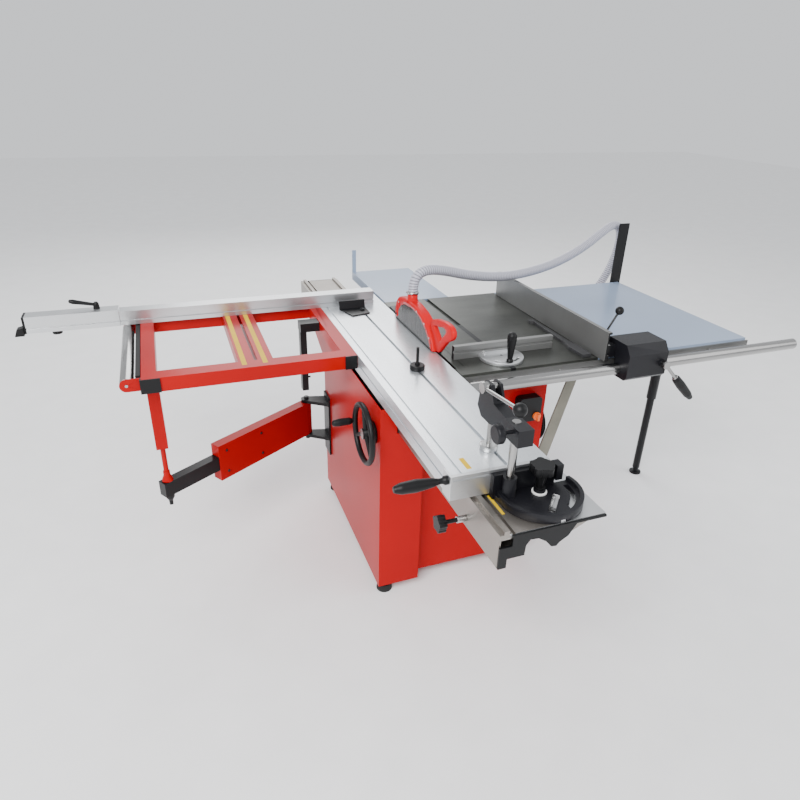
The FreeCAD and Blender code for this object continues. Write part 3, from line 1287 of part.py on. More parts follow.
def handwheel(radius, hub_face, outward, y, z, shaft_end):
    "Dished wheel with three spokes, a crank handle, and its shaft."
    rim_radius = 10
    plane = hub_face + outward * 38
    rim = Part.makeTorus(radius - rim_radius, rim_radius, Vector(plane, y, z), ALONG["x"])
    hub = rod(19, (hub_face + outward * 12, y, z), (plane + outward * 6, y, z))
    spokes = []
    count = 3
    for number in range(count):
        angle = 2 * math.pi * number / count + math.pi / 2
        reach = radius - rim_radius
        end = (plane, y + reach * math.cos(angle), z + reach * math.sin(angle))
        spokes.append(rod(9, (plane - outward * 8, y, z), end, 7))
    shaft = rod(wheel_shaft, (plane, y, z), (shaft_end, y, z))
    crank_y = y + radius - rim_radius
    grip = turned([(0, 7), (10, 8), (20, 13), (60, 14), (78, 11), (84, 6)], (plane, crank_y, z),
                  (plane + outward, crank_y, z))
    dial = rod(40, (hub_face + outward * 1, y, z), (hub_face + outward * 14, y, z))
    return join(rim, hub, shaft, grip, dial, *spokes)


def tilt_handwheel():
    "Wheel on the left wall; its shaft ends in the tilting gear's housing."
    return handwheel(wheel_radius, cabinet_left, -1, wheel_y, wheel_z, gear_right - 12)


def rise_handwheel():
    "Wheel on the right wall, for the blade's height."
    return handwheel(80, cabinet_right, 1, rise_wheel_y, rise_wheel_z, cabinet_right - 40)


# ---- the whole machine ----
nodes = {
    "cabinet_shell": cabinet(), "cabinet_feet": cabinet_feet(), "main_table": main_table(),
    "table_insert": table_insert(), "side_extension": side_extension(), "rear_extension": rear_extension(),
    "extension_brace": extension_brace(), "extension_leg": extension_leg(), "rip_rail": rip_rail(),
    "guard_shoe": guard_shoe(), "base_rail": base_rail(), "base_rail_caps": base_rail_caps(),
    "rail_lock_knob": rail_lock_knob(), "switch_box": switch_box(), "switch_dial": switch_dial(),
    "arm_bracket": arm_bracket(), "arm_outer": arm_outer(), "arm_inner": arm_inner(),
    "hose_post": hose_post(), "dust_hose": dust_hose(), "trunnions": trunnions(),
    "tilt_carrier": tilt_carrier(), "rise_carrier": rise_carrier(), "arbor": arbor(),
    "saw_blade": saw_blade(), "motor": motor(), "motor_pulley": motor_pulley(),
    "drive_belt": drive_belt(), "riving_knife": riving_knife(), "blade_guard": blade_guard(),
    "tilt_handwheel": tilt_handwheel(), "rise_handwheel": rise_handwheel(), "push_stick": push_stick(),
    "carriage": carriage(), "carriage_end_bars": carriage_end_bars(), "carriage_handle": carriage_handle(),
    "edging_shoe": edging_shoe(), "slot_knob": slot_knob(), "quadrant_plate": quadrant_plate(),
    "quadrant_knob": quadrant_knob(), "clamp_post": clamp_post(), "clamp_arm": clamp_arm(),
    "clamp_lever": clamp_lever(), "clamp_spindle": clamp_spindle(), "outrigger_frame": outrigger_frame(),
    "outrigger_caps": outrigger_caps(), "outrigger_roller": outrigger_roller(),
    "outrigger_leg": outrigger_leg(), "outrigger_clamp": outrigger_clamp(),
    "crosscut_fence": crosscut_fence(), "fence_extension": fence_extension(),
    "extension_stop": extension_stop(), "fence_lever": fence_lever(), "rip_fence_head": rip_fence_head(),
    "rip_fence_plate": rip_fence_plate(), "rip_clamp_lever": rip_clamp_lever(),
    "rip_ball_lever": rip_ball_lever(), "mitre_bar": mitre_bar(), "mitre_fence": mitre_fence(),
    "mitre_handle": mitre_handle(),
}

# The origin is the bottom centre of the machine without its hose.
whole = FreeCAD.BoundBox()
for name, shape in nodes.items():
    if name != "dust_hose":
        whole.add(shape.optimalBoundingBox(False, False))
origin = Vector(whole.Center.x, whole.Center.y, whole.ZMin)
print("origin %.4f %.4f %.4f" % (origin.x, origin.y, origin.z))
print("size %.1f %.1f %.1f" % (whole.XLength, whole.YLength, whole.ZLength))

os.makedirs("parts", exist_ok=True)
for name, shape in nodes.items():
    placed = shape.copy()
    placed.translate(origin * -1)
    placed.exportStep("parts/%s.step" % name)
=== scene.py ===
import math

import bpy
import numpy as np
from mathutils import Matrix, Vector


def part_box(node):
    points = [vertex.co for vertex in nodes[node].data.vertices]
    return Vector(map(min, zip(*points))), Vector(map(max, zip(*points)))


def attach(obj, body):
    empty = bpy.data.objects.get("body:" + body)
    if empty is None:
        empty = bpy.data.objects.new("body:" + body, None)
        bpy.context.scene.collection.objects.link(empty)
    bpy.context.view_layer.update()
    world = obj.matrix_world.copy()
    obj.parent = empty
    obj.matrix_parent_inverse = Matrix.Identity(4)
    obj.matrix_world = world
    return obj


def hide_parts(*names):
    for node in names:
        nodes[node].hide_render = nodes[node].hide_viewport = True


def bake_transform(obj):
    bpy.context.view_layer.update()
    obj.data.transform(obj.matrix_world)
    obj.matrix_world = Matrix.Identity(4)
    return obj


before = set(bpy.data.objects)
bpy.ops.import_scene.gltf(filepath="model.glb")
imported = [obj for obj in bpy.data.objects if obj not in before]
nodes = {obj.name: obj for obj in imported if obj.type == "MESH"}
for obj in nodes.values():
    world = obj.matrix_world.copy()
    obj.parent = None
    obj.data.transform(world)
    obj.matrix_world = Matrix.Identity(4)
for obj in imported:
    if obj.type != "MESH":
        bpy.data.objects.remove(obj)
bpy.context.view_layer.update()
scene = bpy.context.scene
print("frame loaded:", len(nodes), "nodes")

# The carriage's left front corner on the floor, which every place below is measured from.
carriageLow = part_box("carriage")[0]
corner = np.array([carriageLow.x, carriageLow.y, 0.0])


# place: millimetres from that corner to metres in the shared frame
def place(x, y, z):
    return corner + np.array([x, y, z]) / 1000.0


# places: the same for an array of points, one row each
def places(points):
    return corner + np.asarray(points, float) / 1000.0


# ---- camera ----
view = {"from": (-596.8, -1206.4, 1746.5), "heading": 21.09, "pitch": 26.39, "roll": -1.69,
        "lens": 28.63, "shiftX": -0.0053, "shiftY": -0.0025}


# The camera looks along heading (turned from +Y towards +X) and pitch below level, then rolls
# about its own line of sight.
def makeCamera():
    heading, pitch, roll = (math.radians(view[k]) for k in ("heading", "pitch", "roll"))
    forward = Vector((math.sin(heading) * math.cos(pitch), math.cos(heading) * math.cos(pitch),
                      -math.sin(pitch)))
    right = Vector((math.cos(heading), -math.sin(heading), 0.0))
    up = right.cross(forward)
    turnedRight = right * math.cos(roll) - up * math.sin(roll)
    turnedUp = up * math.cos(roll) + right * math.sin(roll)
    camera = bpy.data.objects.new("camera", bpy.data.cameras.new("camera"))
    turn = Matrix((turnedRight, turnedUp, -forward)).transposed()
    camera.matrix_world = Matrix.Translation(Vector(place(*view["from"]))) @ turn.to_4x4()
    camera.data.lens = view["lens"]
    camera.data.shift_x, camera.data.shift_y = view["shiftX"], view["shiftY"]
    scene.collection.objects.link(camera)
    scene.camera = camera


makeCamera()
print("camera set")


# ---- materials ----
# Every finish is one Principled shader with a fine bump and a slow change of tone on Object
# coordinates, so that no surface is a single flat colour.
def noiseValue(tree, scale, detail, stretch=(1, 1, 1)):
    coordinates = tree.nodes.new("ShaderNodeTexCoord")
    mapping = tree.nodes.new("ShaderNodeMapping")
    noise = tree.nodes.new("ShaderNodeTexNoise")
    mapping.inputs["Scale"].default_value = stretch
    noise.inputs["Scale"].default_value = scale
    noise.inputs["Detail"].default_value = detail
    tree.links.new(coordinates.outputs["Object"], mapping.inputs["Vector"])
    tree.links.new(mapping.outputs["Vector"], noise.inputs["Vector"])
    return noise.outputs["Fac"]


def ramp(tree, value, stops):
    node = tree.nodes.new("ShaderNodeValToRGB")
    elements = node.color_ramp.elements
    while len(elements) < len(stops):
        elements.new(0.5)
    for element, (position, colour) in zip(elements, stops):
        element.position, element.color = position, (*colour, 1)
    tree.links.new(value, node.inputs["Fac"])
    return node.outputs["Color"]


def shade(colour, factor):
    return tuple(min(1.0, c * factor) for c in colour)


def finish(name, colour, rough=0.4, metal=0.0, coat=0.0, specular=0.5, tone=0.12, toneScale=6.0,
           toneStretch=(1, 1, 1), grain=0.15, grainScale=900.0, grainStretch=(1, 1, 1),
           depth=0.0002):
    material = bpy.data.materials.new(name)
    material.use_nodes = True
    tree = material.node_tree
    shader = tree.nodes["Principled BSDF"]
    shader.inputs["Metallic"].default_value = metal
    shader.inputs["Coat Weight"].default_value = coat
    shader.inputs["Coat Roughness"].default_value = 0.12
    shader.inputs["Specular IOR Level"].default_value = specular
    slow = noiseValue(tree, toneScale, 4, toneStretch)
    tones = [(0.3, shade(colour, 1 - tone)), (0.7, shade(colour, 1 + tone))]
    tree.links.new(ramp(tree, slow, tones), shader.inputs["Base Color"])
    fine = noiseValue(tree, grainScale, 3, grainStretch)
    spread = tree.nodes.new("ShaderNodeMapRange")
    spread.inputs["To Min"].default_value = max(0.02, rough - grain * 0.5)
    spread.inputs["To Max"].default_value = min(1.0, rough + grain * 0.5)
    tree.links.new(fine, spread.inputs["Value"])
    tree.links.new(spread.outputs["Result"], shader.inputs["Roughness"])
    bump = tree.nodes.new("ShaderNodeBump")
    bump.inputs["Strength"].default_value = grain
    bump.inputs["Distance"].default_value = depth
    tree.links.new(fine, bump.inputs["Height"])
    tree.links.new(bump.outputs["Normal"], shader.inputs["Normal"])
    return material


colours = {"red": (0.37, 0.001, 0.002), "guardRed": (0.56, 0.0005, 0.006),
           "black": (0.004, 0.004, 0.0045), "softBlack": (0.006, 0.006, 0.007),
           "castBlack": (0.006, 0.006, 0.008), "stick": (0.03, 0.03, 0.032),
           "rubber": (0.006, 0.006, 0.006), "aluminium": (0.62, 0.63, 0.64),
           "satin": (0.27, 0.27, 0.265), "rail": (0.3, 0.275, 0.25), "pale": (0.74, 0.77, 0.8),
           "iron": (0.075, 0.078, 0.07), "darkIron": (0.07, 0.07, 0.075),
           "chrome": (0.36, 0.355, 0.35), "steel": (0.5, 0.5, 0.5), "motor": (0.3, 0.31, 0.33),
           "tableGrey": (0.27, 0.34, 0.46), "brace": (0.2, 0.19, 0.155),
           "switch": (0.75, 0.12, 0.01), "white": (0.75, 0.75, 0.73),
           "yellow": (0.66, 0.42, 0.0), "window": (0.075, 0.072, 0.07),
           # the hose's groove colour is painted shade, darker than its ribs
           "hoseRib": (0.47, 0.47, 0.54), "hoseGrooveShade": (0.10, 0.10, 0.12),
           "floor": (0.92, 0.92, 0.92)}
# A brushed finish is stretched along the direction in which the bar was drawn.
alongY, alongX = (7, 0.12, 7), (0.12, 7, 7)
redPaint = finish("redPaint", colours["red"], rough=0.3, coat=0.03, specular=0.1, tone=0.10,
                  toneScale=2.2, grain=0.10, grainScale=420, depth=0.0003)
guardPlastic = finish("guardPlastic", colours["guardRed"], rough=0.28, coat=0.02, specular=0.1,
                      tone=0.08, grain=0.06, grainScale=500)
blackPaint = finish("blackPaint", colours["softBlack"], rough=0.36, coat=0.04, specular=0.22,
                    tone=0.3, grain=0.14, grainScale=600)
castBlack = finish("castBlack", colours["castBlack"], rough=0.38, coat=0.04, specular=0.25,
                   tone=0.35, grain=0.35, grainScale=420, depth=0.0006)
blackPlastic = finish("blackPlastic", colours["black"], rough=0.42, specular=0.25, tone=0.3,
                      grain=0.3, grainScale=1800)
stickPlastic = finish("stickPlastic", colours["stick"], rough=0.45, tone=0.3, grain=0.2)
rubber = finish("rubber", colours["rubber"], rough=0.75, tone=0.3, grain=0.3, grainScale=900)
anodised = finish("anodised", colours["aluminium"], rough=0.34, metal=0.9, tone=0.06,
                  grain=0.22, grainScale=260, grainStretch=alongY, depth=0.00012)
fenceAnodised = finish("fenceAnodised", colours["aluminium"], rough=0.32, metal=0.9, tone=0.06,
                       grain=0.22, grainScale=260, grainStretch=alongX, depth=0.00012)
satinAluminium = finish("satinAluminium", colours["satin"], rough=0.4, metal=0.8, tone=0.08,
                        grain=0.25, grainScale=260, grainStretch=alongY, depth=0.00012)
railAluminium = finish("railAluminium", colours["rail"], rough=0.36, metal=0.85, tone=0.08,
                       grain=0.22, grainScale=260, grainStretch=alongY, depth=0.00012)
carriageTop = finish("carriageTop", colours["pale"], rough=0.3, metal=0.75, tone=0.07,
                     toneScale=3.0, toneStretch=(4, 0.3, 1), grain=0.2, grainScale=300,
                     grainStretch=(6, 0.1, 6), depth=0.0001)
groundIron = finish("groundIron", colours["iron"], rough=0.36, metal=0.75, tone=0.22,
                    toneScale=5.0, toneStretch=(1, 2.5, 1), grain=0.3, grainScale=420,
                    grainStretch=(0.25, 5, 1), depth=0.00012)
darkIron = finish("darkIron", colours["darkIron"], rough=0.6, metal=0.6, tone=0.3, grain=0.5,
                  grainScale=260, depth=0.0012)
chromed = finish("chromed", colours["chrome"], rough=0.2, metal=1.0, tone=0.05, grain=0.06,
                 grainScale=700)
steel = finish("steel", colours["steel"], rough=0.3, metal=1.0, tone=0.12, grain=0.25,
               grainScale=500, grainStretch=(4, 0.5, 4))
motorAlloy = finish("motorAlloy", colours["motor"], rough=0.45, metal=0.7, tone=0.15,
                    grain=0.35, grainScale=300)
tablePaint = finish("tablePaint", colours["tableGrey"], rough=0.34, coat=0.3, tone=0.08,
                    toneScale=1.6, grain=0.12, grainScale=500)
bracePaint = finish("bracePaint", colours["brace"], rough=0.5, metal=0.5, tone=0.2, grain=0.5,
                    grainScale=240, depth=0.0008)
switchPlastic = finish("switchPlastic", colours["switch"], rough=0.35, coat=0.3, grain=0.1)
whitePlastic = finish("whitePlastic", colours["white"], rough=0.4, tone=0.05)
yellowStrip = finish("yellowStrip", colours["yellow"], rough=0.5, specular=0.15, tone=0.1,
                     grain=0.1)
smokyWindow = finish("smokyWindow", colours["window"], rough=0.16, coat=0.05, tone=0.25,
                     toneScale=14, toneStretch=(1, 3, 1), grain=0.05)
hosePlastic = finish("hosePlastic", colours["hoseRib"], rough=0.28, coat=0.1, grain=0.1,
                     grainScale=700)
floorTone = finish("floorTone", colours["floor"], rough=0.8, tone=0.02, grain=0.1, grainScale=60)


# Painted shade: the hose's grooves are coloured darker than its ribs, by the "rib" value stored at
# each of its points, to stand in for the shade that falls in them.
def paintGrooveShade():
    tree = hosePlastic.node_tree
    stored = tree.nodes.new("ShaderNodeAttribute")
    stored.attribute_name = "rib"
    colour = ramp(tree, stored.outputs["Fac"], [(0.0, colours["hoseGrooveShade"]),
                                                (0.75, colours["hoseRib"])])
    tree.links.new(colour, tree.nodes["Principled BSDF"].inputs["Base Color"])


paintGrooveShade()

# The finish of every design part, listed by finish.
finished = [(redPaint, "cabinet_shell arm_outer outrigger_frame outrigger_leg"),
            (guardPlastic, "blade_guard"),
            (blackPaint, "extension_leg arm_bracket arm_inner hose_post edging_shoe "
                         "outrigger_clamp mitre_bar guard_shoe"),
            (castBlack, "quadrant_plate clamp_arm rip_fence_head"),
            (blackPlastic, "base_rail_caps rail_lock_knob switch_box tilt_handwheel "
                           "rise_handwheel carriage_handle slot_knob quadrant_knob "
                           "outrigger_caps extension_stop fence_lever rip_clamp_lever "
                           "mitre_handle"),
            (stickPlastic, "push_stick"), (switchPlastic, "switch_dial"),
            (rubber, "cabinet_feet drive_belt"), (hosePlastic, "dust_hose"),
            (groundIron, "main_table table_insert"),
            (tablePaint, "side_extension rear_extension"), (bracePaint, "extension_brace"),
            (railAluminium, "base_rail"), (carriageTop, "carriage"),
            (satinAluminium, "rip_fence_plate"),
            (fenceAnodised, "carriage_end_bars crosscut_fence fence_extension mitre_fence"),
            (darkIron, "trunnions tilt_carrier rise_carrier"), (motorAlloy, "motor"),
            (steel, "arbor saw_blade motor_pulley riving_knife"),
            (chromed, "clamp_post clamp_lever clamp_spindle outrigger_roller rip_ball_lever "
                      "rip_rail")]


def dress(node, material):
    node.data.materials.clear()
    node.data.materials.append(material)


# Each design part keeps its shape; welding and a narrow bevel only break its sharp edges.
edge = {"width": 0.0009, "segments": 2, "angle": 35.0, "weld": 0.00002}


def softenEdges(node):
    weld = node.modifiers.new("weld", "WELD")
    weld.merge_threshold = edge["weld"]
    bevel = node.modifiers.new("bevel", "BEVEL")
    bevel.width, bevel.segments = edge["width"], edge["segments"]
    bevel.limit_method, bevel.angle_limit = "ANGLE", math.radians(edge["angle"])
    bevel.harden_normals = True
    bevel.use_clamp_overlap = True


for material, names in finished:
    for name in names.split():
        dress(nodes[name], material)
print("materials given to", sum(len(names.split()) for _, names in finished), "parts")


# ---- surfaces ----
# gridMesh: points as an array of rows x columns x 3; each cell becomes one quad. A closed
# direction also joins its last line to its first.
def gridMesh(name, points, material, closeRows=False, closeColumns=False, caps=False, smooth=True):
    rows, columns = points.shape[:2]
    index = np.arange(rows * columns).reshape(rows, columns)
    down = np.vstack([index, index[:1]]) if closeRows else index
    whole = np.hstack([down, down[:, :1]]) if closeColumns else down
    quads = np.stack([whole[:-1, :-1], whole[:-1, 1:], whole[1:, 1:], whole[1:, :-1]], -1)
    quads = quads.reshape(-1, 4)
    flat = points.reshape(-1, 3)
    a, b, c, d = (flat[quads[:, k]] for k in range(4))
    # a positive sum means that the faces already point outwards
    volume = np.einsum("ij,ij->", a - flat.mean(0),
                       np.cross(b - a, c - a) + np.cross(c - a, d - a))
    faces = quads.tolist()
    if caps:
        faces += [index[0].tolist(), index[-1, ::-1].tolist()]
    if volume < 0:
        faces = [face[::-1] for face in faces]
    return meshObject(name, flat, faces, material, smooth)


def meshObject(name, points, faces, material, smooth=True):
    mesh = bpy.data.meshes.new(name)
    mesh.from_pydata(np.asarray(points, float).tolist(), [], faces)
    mesh.polygons.foreach_set("use_smooth", [smooth] * len(mesh.polygons))
    mesh.materials.append(material)
    mesh.update()
    piece = bpy.data.objects.new(name, mesh)
    scene.collection.objects.link(piece)
    return piece


# frames: a unit tangent at each path point, and two unit normals carried along without twist
def frames(path):
    tangent = np.gradient(path, axis=0)
    tangent /= np.linalg.norm(tangent, axis=1)[:, None]
    first = np.cross(tangent[0], [0.0, 1.0, 0.0])
    if np.linalg.norm(first) < 0.1:
        first = np.cross(tangent[0], [1.0, 0.0, 0.0])
    normal = [first / np.linalg.norm(first)]
    for step in tangent[1:]:
        carried = normal[-1] - step * (normal[-1] @ step)
        normal.append(carried / np.linalg.norm(carried))
    normal = np.array(normal)
    return tangent, normal, np.cross(tangent, normal)


# sweep: a closed section, as (side, up) offsets, carried along the path with one ring of points
# for each path point: point = path + side * offset1 + up * offset2
def sweep(name, path, section, material):
    tangent, side, up = frames(path)
    rings = (path[:, None, :] + side[:, None, :] * section[None, :, 0, None]
             + up[:, None, :] * section[None, :, 1, None])
    return gridMesh(name, rings, material, closeColumns=True, caps=True)


# lathe: profile of (along, radius) pairs, in metres, turned about the line from start along axis:
# point = start + axis * along + (side * cos + up * sin) * radius. A ringed profile closes on
# itself, and any other has a flat cap at each end.
def lathe(name, start, axis, profile, material, count=40, ringed=False):
    start, axis = np.asarray(start, float), np.asarray(axis, float)
    axis = axis / np.linalg.norm(axis)
    side = np.cross(axis, [0, 0, 1.0])
    if np.linalg.norm(side) < 0.1:
        side = np.cross(axis, [1.0, 0, 0])
    side /= np.linalg.norm(side)
    up = np.cross(axis, side)
    profile = np.asarray(profile, float)
    angle = np.linspace(0, 2 * np.pi, count, endpoint=False)
    ring = np.cos(angle)[:, None] * side + np.sin(angle)[:, None] * up
    points = start + axis * profile[:, 0, None, None] + ring[None] * profile[:, 1, None, None]
    return gridMesh(name, points, material, closeRows=ringed, closeColumns=True, caps=not ringed)


# ---- hose ----
hose = {"radius": 0.020, "groove": 0.0028, "pitch": 0.0100, "perPitch": 8, "around": 26,
        "freeFrom": 0, "fixedFrom": 7, "resolution": 24,
        # from the guard's port, over the hose post, round behind the table to the outlet
        "route": [(285, 1020, 1014.3), (285, 1020, 1050), (305, 1026, 1086), (352, 1040, 1098),
                  (434, 1063, 1082), (560, 1102, 1042), (740, 1157, 1006), (930, 1215, 1002),
                  (1110, 1270, 1024), (1270, 1322, 1070), (1390, 1368, 1120), (1468, 1400, 1148),
                  (1522, 1412, 1140), (1546, 1420, 1092), (1545, 1424, 1016), (1522, 1428, 920),
                  (1470, 1432, 820), (1370, 1436, 720), (1220, 1440, 645), (1050, 1444, 600),
                  (880, 1448, 576), (760, 1443, 567), (668, 1446, 562), (601, 1424, 560),
                  (560, 1377, 560), (560, 1317, 560)]}


# The route's points control one smooth NURBS line; its centreline comes back evenly spaced.
def routeLine(points, spacing):
    curve = bpy.data.curves.new("route", "CURVE")
    curve.dimensions = "3D"
    spline = curve.splines.new("NURBS")
    spline.points.add(len(points) - 1)
    for point, position in zip(spline.points, places(points)):
        point.co = (*position, 1)
    spline.order_u = 3
    spline.use_endpoint_u = True
    spline.resolution_u = hose["resolution"]
    holder = bpy.data.objects.new("route", curve)
    scene.collection.objects.link(holder)
    line = bpy.data.meshes.new_from_object(holder)
    found = np.zeros(len(line.vertices) * 3)
    line.vertices.foreach_get("co", found)
    found = found.reshape(-1, 3)
    bpy.data.objects.remove(holder)
    length = np.r_[0, np.cumsum(np.linalg.norm(np.diff(found, axis=0), axis=1))]
    wanted = np.linspace(0, length[-1], int(length[-1] / spacing))
    return np.column_stack([np.interp(wanted, length, found[:, k]) for k in range(3)]), length[-1]


# The wall is a tube whose radius dips once for each pitch along it, and the dip winds round as a
# screw: radius = R - groove * (1 - |cos(pi * along / pitch - angle / 2)|).
def makeHose():
    line, length = routeLine(hose["route"], hose["pitch"] / hose["perPitch"])
    tangent, side, up = frames(line)
    angle = np.linspace(0, 2 * np.pi, hose["around"], endpoint=False)
    along = np.linspace(0, length, len(line))
    wave = np.abs(np.cos(np.pi * along[:, None] / hose["pitch"] - angle[None, :] / 2))
    radius = hose["radius"] - hose["groove"] * (1 - wave)
    rings = line[:, None] + radius[..., None] * (np.cos(angle)[None, :, None] * side[:, None]
                                                 + np.sin(angle)[None, :, None] * up[:, None])
    piece = gridMesh("ribbedHose", rings, hosePlastic, closeColumns=True, caps=True)
    # the stored wave also sets the painted shade in the grooves
    piece.data.attributes.new("rib", "FLOAT", "POINT").data.foreach_set("value", wave.ravel())
    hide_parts("dust_hose")
    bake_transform(piece)
    return length


hoseLength = makeHose()
print("hose made, %.2f m long" % hoseLength)


# smoothLine: a polyline resampled evenly by its length, then averaged over its neighbours; each
# end is mirrored through its last point, so the ends stay in place.
def smoothLine(points, count, width):
    points = np.asarray(points, float)
    length = np.r_[0, np.cumsum(np.linalg.norm(np.diff(points, axis=0), axis=1))]
    wanted = np.linspace(0, length[-1], count)
    columns = range(points.shape[1])
    line = np.column_stack([np.interp(wanted, length, points[:, k]) for k in columns])
    before, after = 2 * line[0] - line[width:0:-1], 2 * line[-1] - line[-2:-width - 2:-1]
    padded = np.vstack([before, line, after])
    kernel = np.hanning(2 * width + 3)[1:-1]
    kernel /= kernel.sum()
    return np.column_stack([np.convolve(padded[:, k], kernel, "valid") for k in columns])


# outlineRadius: how far the outline's edge lies from centre in each direction, found where the
# ray in that direction crosses an edge, then averaged round the ring to ease the corners.
def outlineRadius(outline, centre, angles, ease):
    start = np.asarray(outline, float) - centre
    step = np.roll(start, -1, axis=0) - start
    ray = np.column_stack([np.cos(angles), np.sin(angles)])
    cross = ray[:, None, 0] * step[None, :, 1] - ray[:, None, 1] * step[None, :, 0]
    cross = np.where(np.abs(cross) < 1e-9, 1e-9, cross)
    x, y = start[None, :, 0], start[None, :, 1]
    far = (x * step[None, :, 1] - y * step[None, :, 0]) / cross
    share = (x * ray[:, None, 1] - y * ray[:, None, 0]) / cross
    radius = np.where((share >= 0) & (share <= 1) & (far > 0), far, np.inf).min(1)
    kernel = np.hanning(2 * ease + 3)[1:-1]
    kernel /= kernel.sum()
    return np.convolve(np.r_[radius[-ease:], radius, radius[:ease]], kernel, "valid")


# superellipse: points of |u|^(2/p) + |v|^(2/p) = 1, as (u, v) with p the power of cos and sin
def superellipse(angle, power):
    return np.column_stack([np.sign(np.cos(angle)) * np.abs(np.cos(angle)) ** power,
                            np.sign(np.sin(angle)) * np.abs(np.sin(angle)) ** power])


box = {"sides": 32, "power": 0.12, "ease": 0.8}


# boxPiece: a slab along Y with eased edges, a superellipse scaled to the slab's width and height
# and drawn in by ease at its two ends
def boxPiece(name, low, high, material, ease=box["ease"]):
    low, high = np.asarray(low, float), np.asarray(high, float)
    middle, half = (low + high) / 2, (high - low) / 2
    sides = box["sides"]
    angle = np.linspace(0, 2 * np.pi, sides, endpoint=False) + np.pi / sides
    section = superellipse(angle, box["power"])
    inset = np.array([ease, 0, 0, ease])
    points = np.zeros((4, sides, 3))
    stations = np.array([-half[1], ease - half[1], half[1] - ease, half[1]])
    points[..., 1] = middle[1] + stations[:, None]
    for column, axis in enumerate((0, 2)):
        reach = np.maximum(half[axis] - inset, half[axis] * 0.5)
        points[..., axis] = middle[axis] + section[None, :, column] * reach[:, None]
    return gridMesh(name, places(points), material, closeColumns=True, caps=True, smooth=False)


# dressWhere: the faces whose centres pass the test take another finish
def dressWhere(node, material, test):
    mesh = nodes[node].data
    mesh.materials.append(material)
    centres = np.zeros(len(mesh.polygons) * 3)
    mesh.polygons.foreach_get("center", centres)
    index = np.zeros(len(mesh.polygons), dtype=np.int32)
    mesh.polygons.foreach_get("material_index", index)
    index[test(centres.reshape(-1, 3))] = len(mesh.materials) - 1
    mesh.polygons.foreach_set("material_index", index)


# near, beyond, atLowEnd, onWing and offBar are the tests: a ball round a point, one side of a
# plane, the end cap of a bar, the base rail's wing plate, and what isn't the round rip bar.
def near(point, radius):
    return lambda centres: np.linalg.norm(centres - place(*point), axis=1) < radius / 1000.0


def beyond(point, axis, distance):
    axis = np.asarray(axis, float) / np.linalg.norm(axis)
    return lambda centres: (centres - place(*point)) @ axis > distance / 1000.0


def atLowEnd(node, axis):
    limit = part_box(node)[0][axis] + split["cap"]
    return lambda centres: centres[:, axis] < limit


def onWing(centres):
    x, y, z = ((centres - corner) * 1000).T
    return (z > split["wingLow"]) & (x > split["wingLeft"]) & (y < split["wingBack"])


def offBar(centres):
    x, y, z = ((centres - corner) * 1000).T
    return np.hypot(y - split["barY"], z - split["barZ"]) > split["barRadius"]


split = {"cap": 0.0015, "wingLow": 778, "wingLeft": 84, "wingBack": 525,
         "barY": 495, "barZ": 840, "barRadius": 22}
twoFinishes = [("base_rail", anodised, onWing), ("rip_rail", satinAluminium, offBar),
               ("mitre_fence", satinAluminium, beyond((482, 671, 870), (0, 1, 0), 0)),
               ("mitre_fence", blackPlastic, atLowEnd("mitre_fence", 0)),
               ("rip_fence_plate", blackPlastic, atLowEnd("rip_fence_plate", 1)),
               ("clamp_spindle", steel, near((148, 87, 880), 32)),
               ("clamp_lever", blackPlastic, near((119, -91, 1080), 18.5)),
               ("rip_ball_lever", blackPlastic, near((860, 513, 1054), 16)),
               ("rip_clamp_lever", chromed, near((1030, 422, 865), 80)),
               ("rail_lock_knob", steel, beyond((26, 12, 716), (1, 0, 0), 0)),
               ("tilt_handwheel", steel, near((-46, 596, 674), 16))]
for nodeName, material, test in twoFinishes:
    dressWhere(nodeName, material, test)
print("second finishes given")


# ---- blade guard ----
guard = {"middle": (960, 900), "left": 264.0, "right": 306.0, "low": 874.0, "wall": 3.0,
         "shoulder": 9.0,
         "ridge": [(1150, 874), (1164, 892), (1165, 908), (1158, 940), (1128, 972), (1060, 986),
                   (970, 989), (890, 977), (826, 953), (778, 912), (757, 874)],
         "flange": [(0.0, 34), (0.2, 44), (0.34, 26), (0.62, 15), (0.78, 20), (0.92, 22),
                    (1.0, 20)],
         "loop": [(757, 876), (778, 912), (826, 953), (822, 962), (800, 982), (759, 997),
                  (690, 1009), (640, 1009), (614, 994), (622, 966), (668, 944), (712, 900),
                  (735, 876)],
         "finger": [(786, 962), (700, 984), (676, 978), (729, 924)], "loopCentre": (735, 957),
         "loopHalf": 10.0, "loopPower": 0.5, "port": (285, 1020), "portLow": 980,
         "portRadius": 20.0, "portCollar": 5, "portTall": 34, "clampLow": 1013, "clampTall": 9,
         "windowFront": 775, "windowBack": 1140, "windowInset": 7,
         "windowOut": 0.6, "windowIn": 2.4, "edge": [(263.4, 266.4), (303.6, 306.4)],
         "edgeEnds": (772, 1146), "edgeLow": 872, "edgeHigh": 878,
         "screws": [(795, 912), (846, 950), (925, 972), (1120, 950)], "screwRadius": 4,
         "screwTall": 1.2}


# guardRidge: the guard's upper edge seen from the side, as (y, z) from heel to nose
def guardRidge(count):
    return smoothLine(guard["ridge"], count, count // 16)


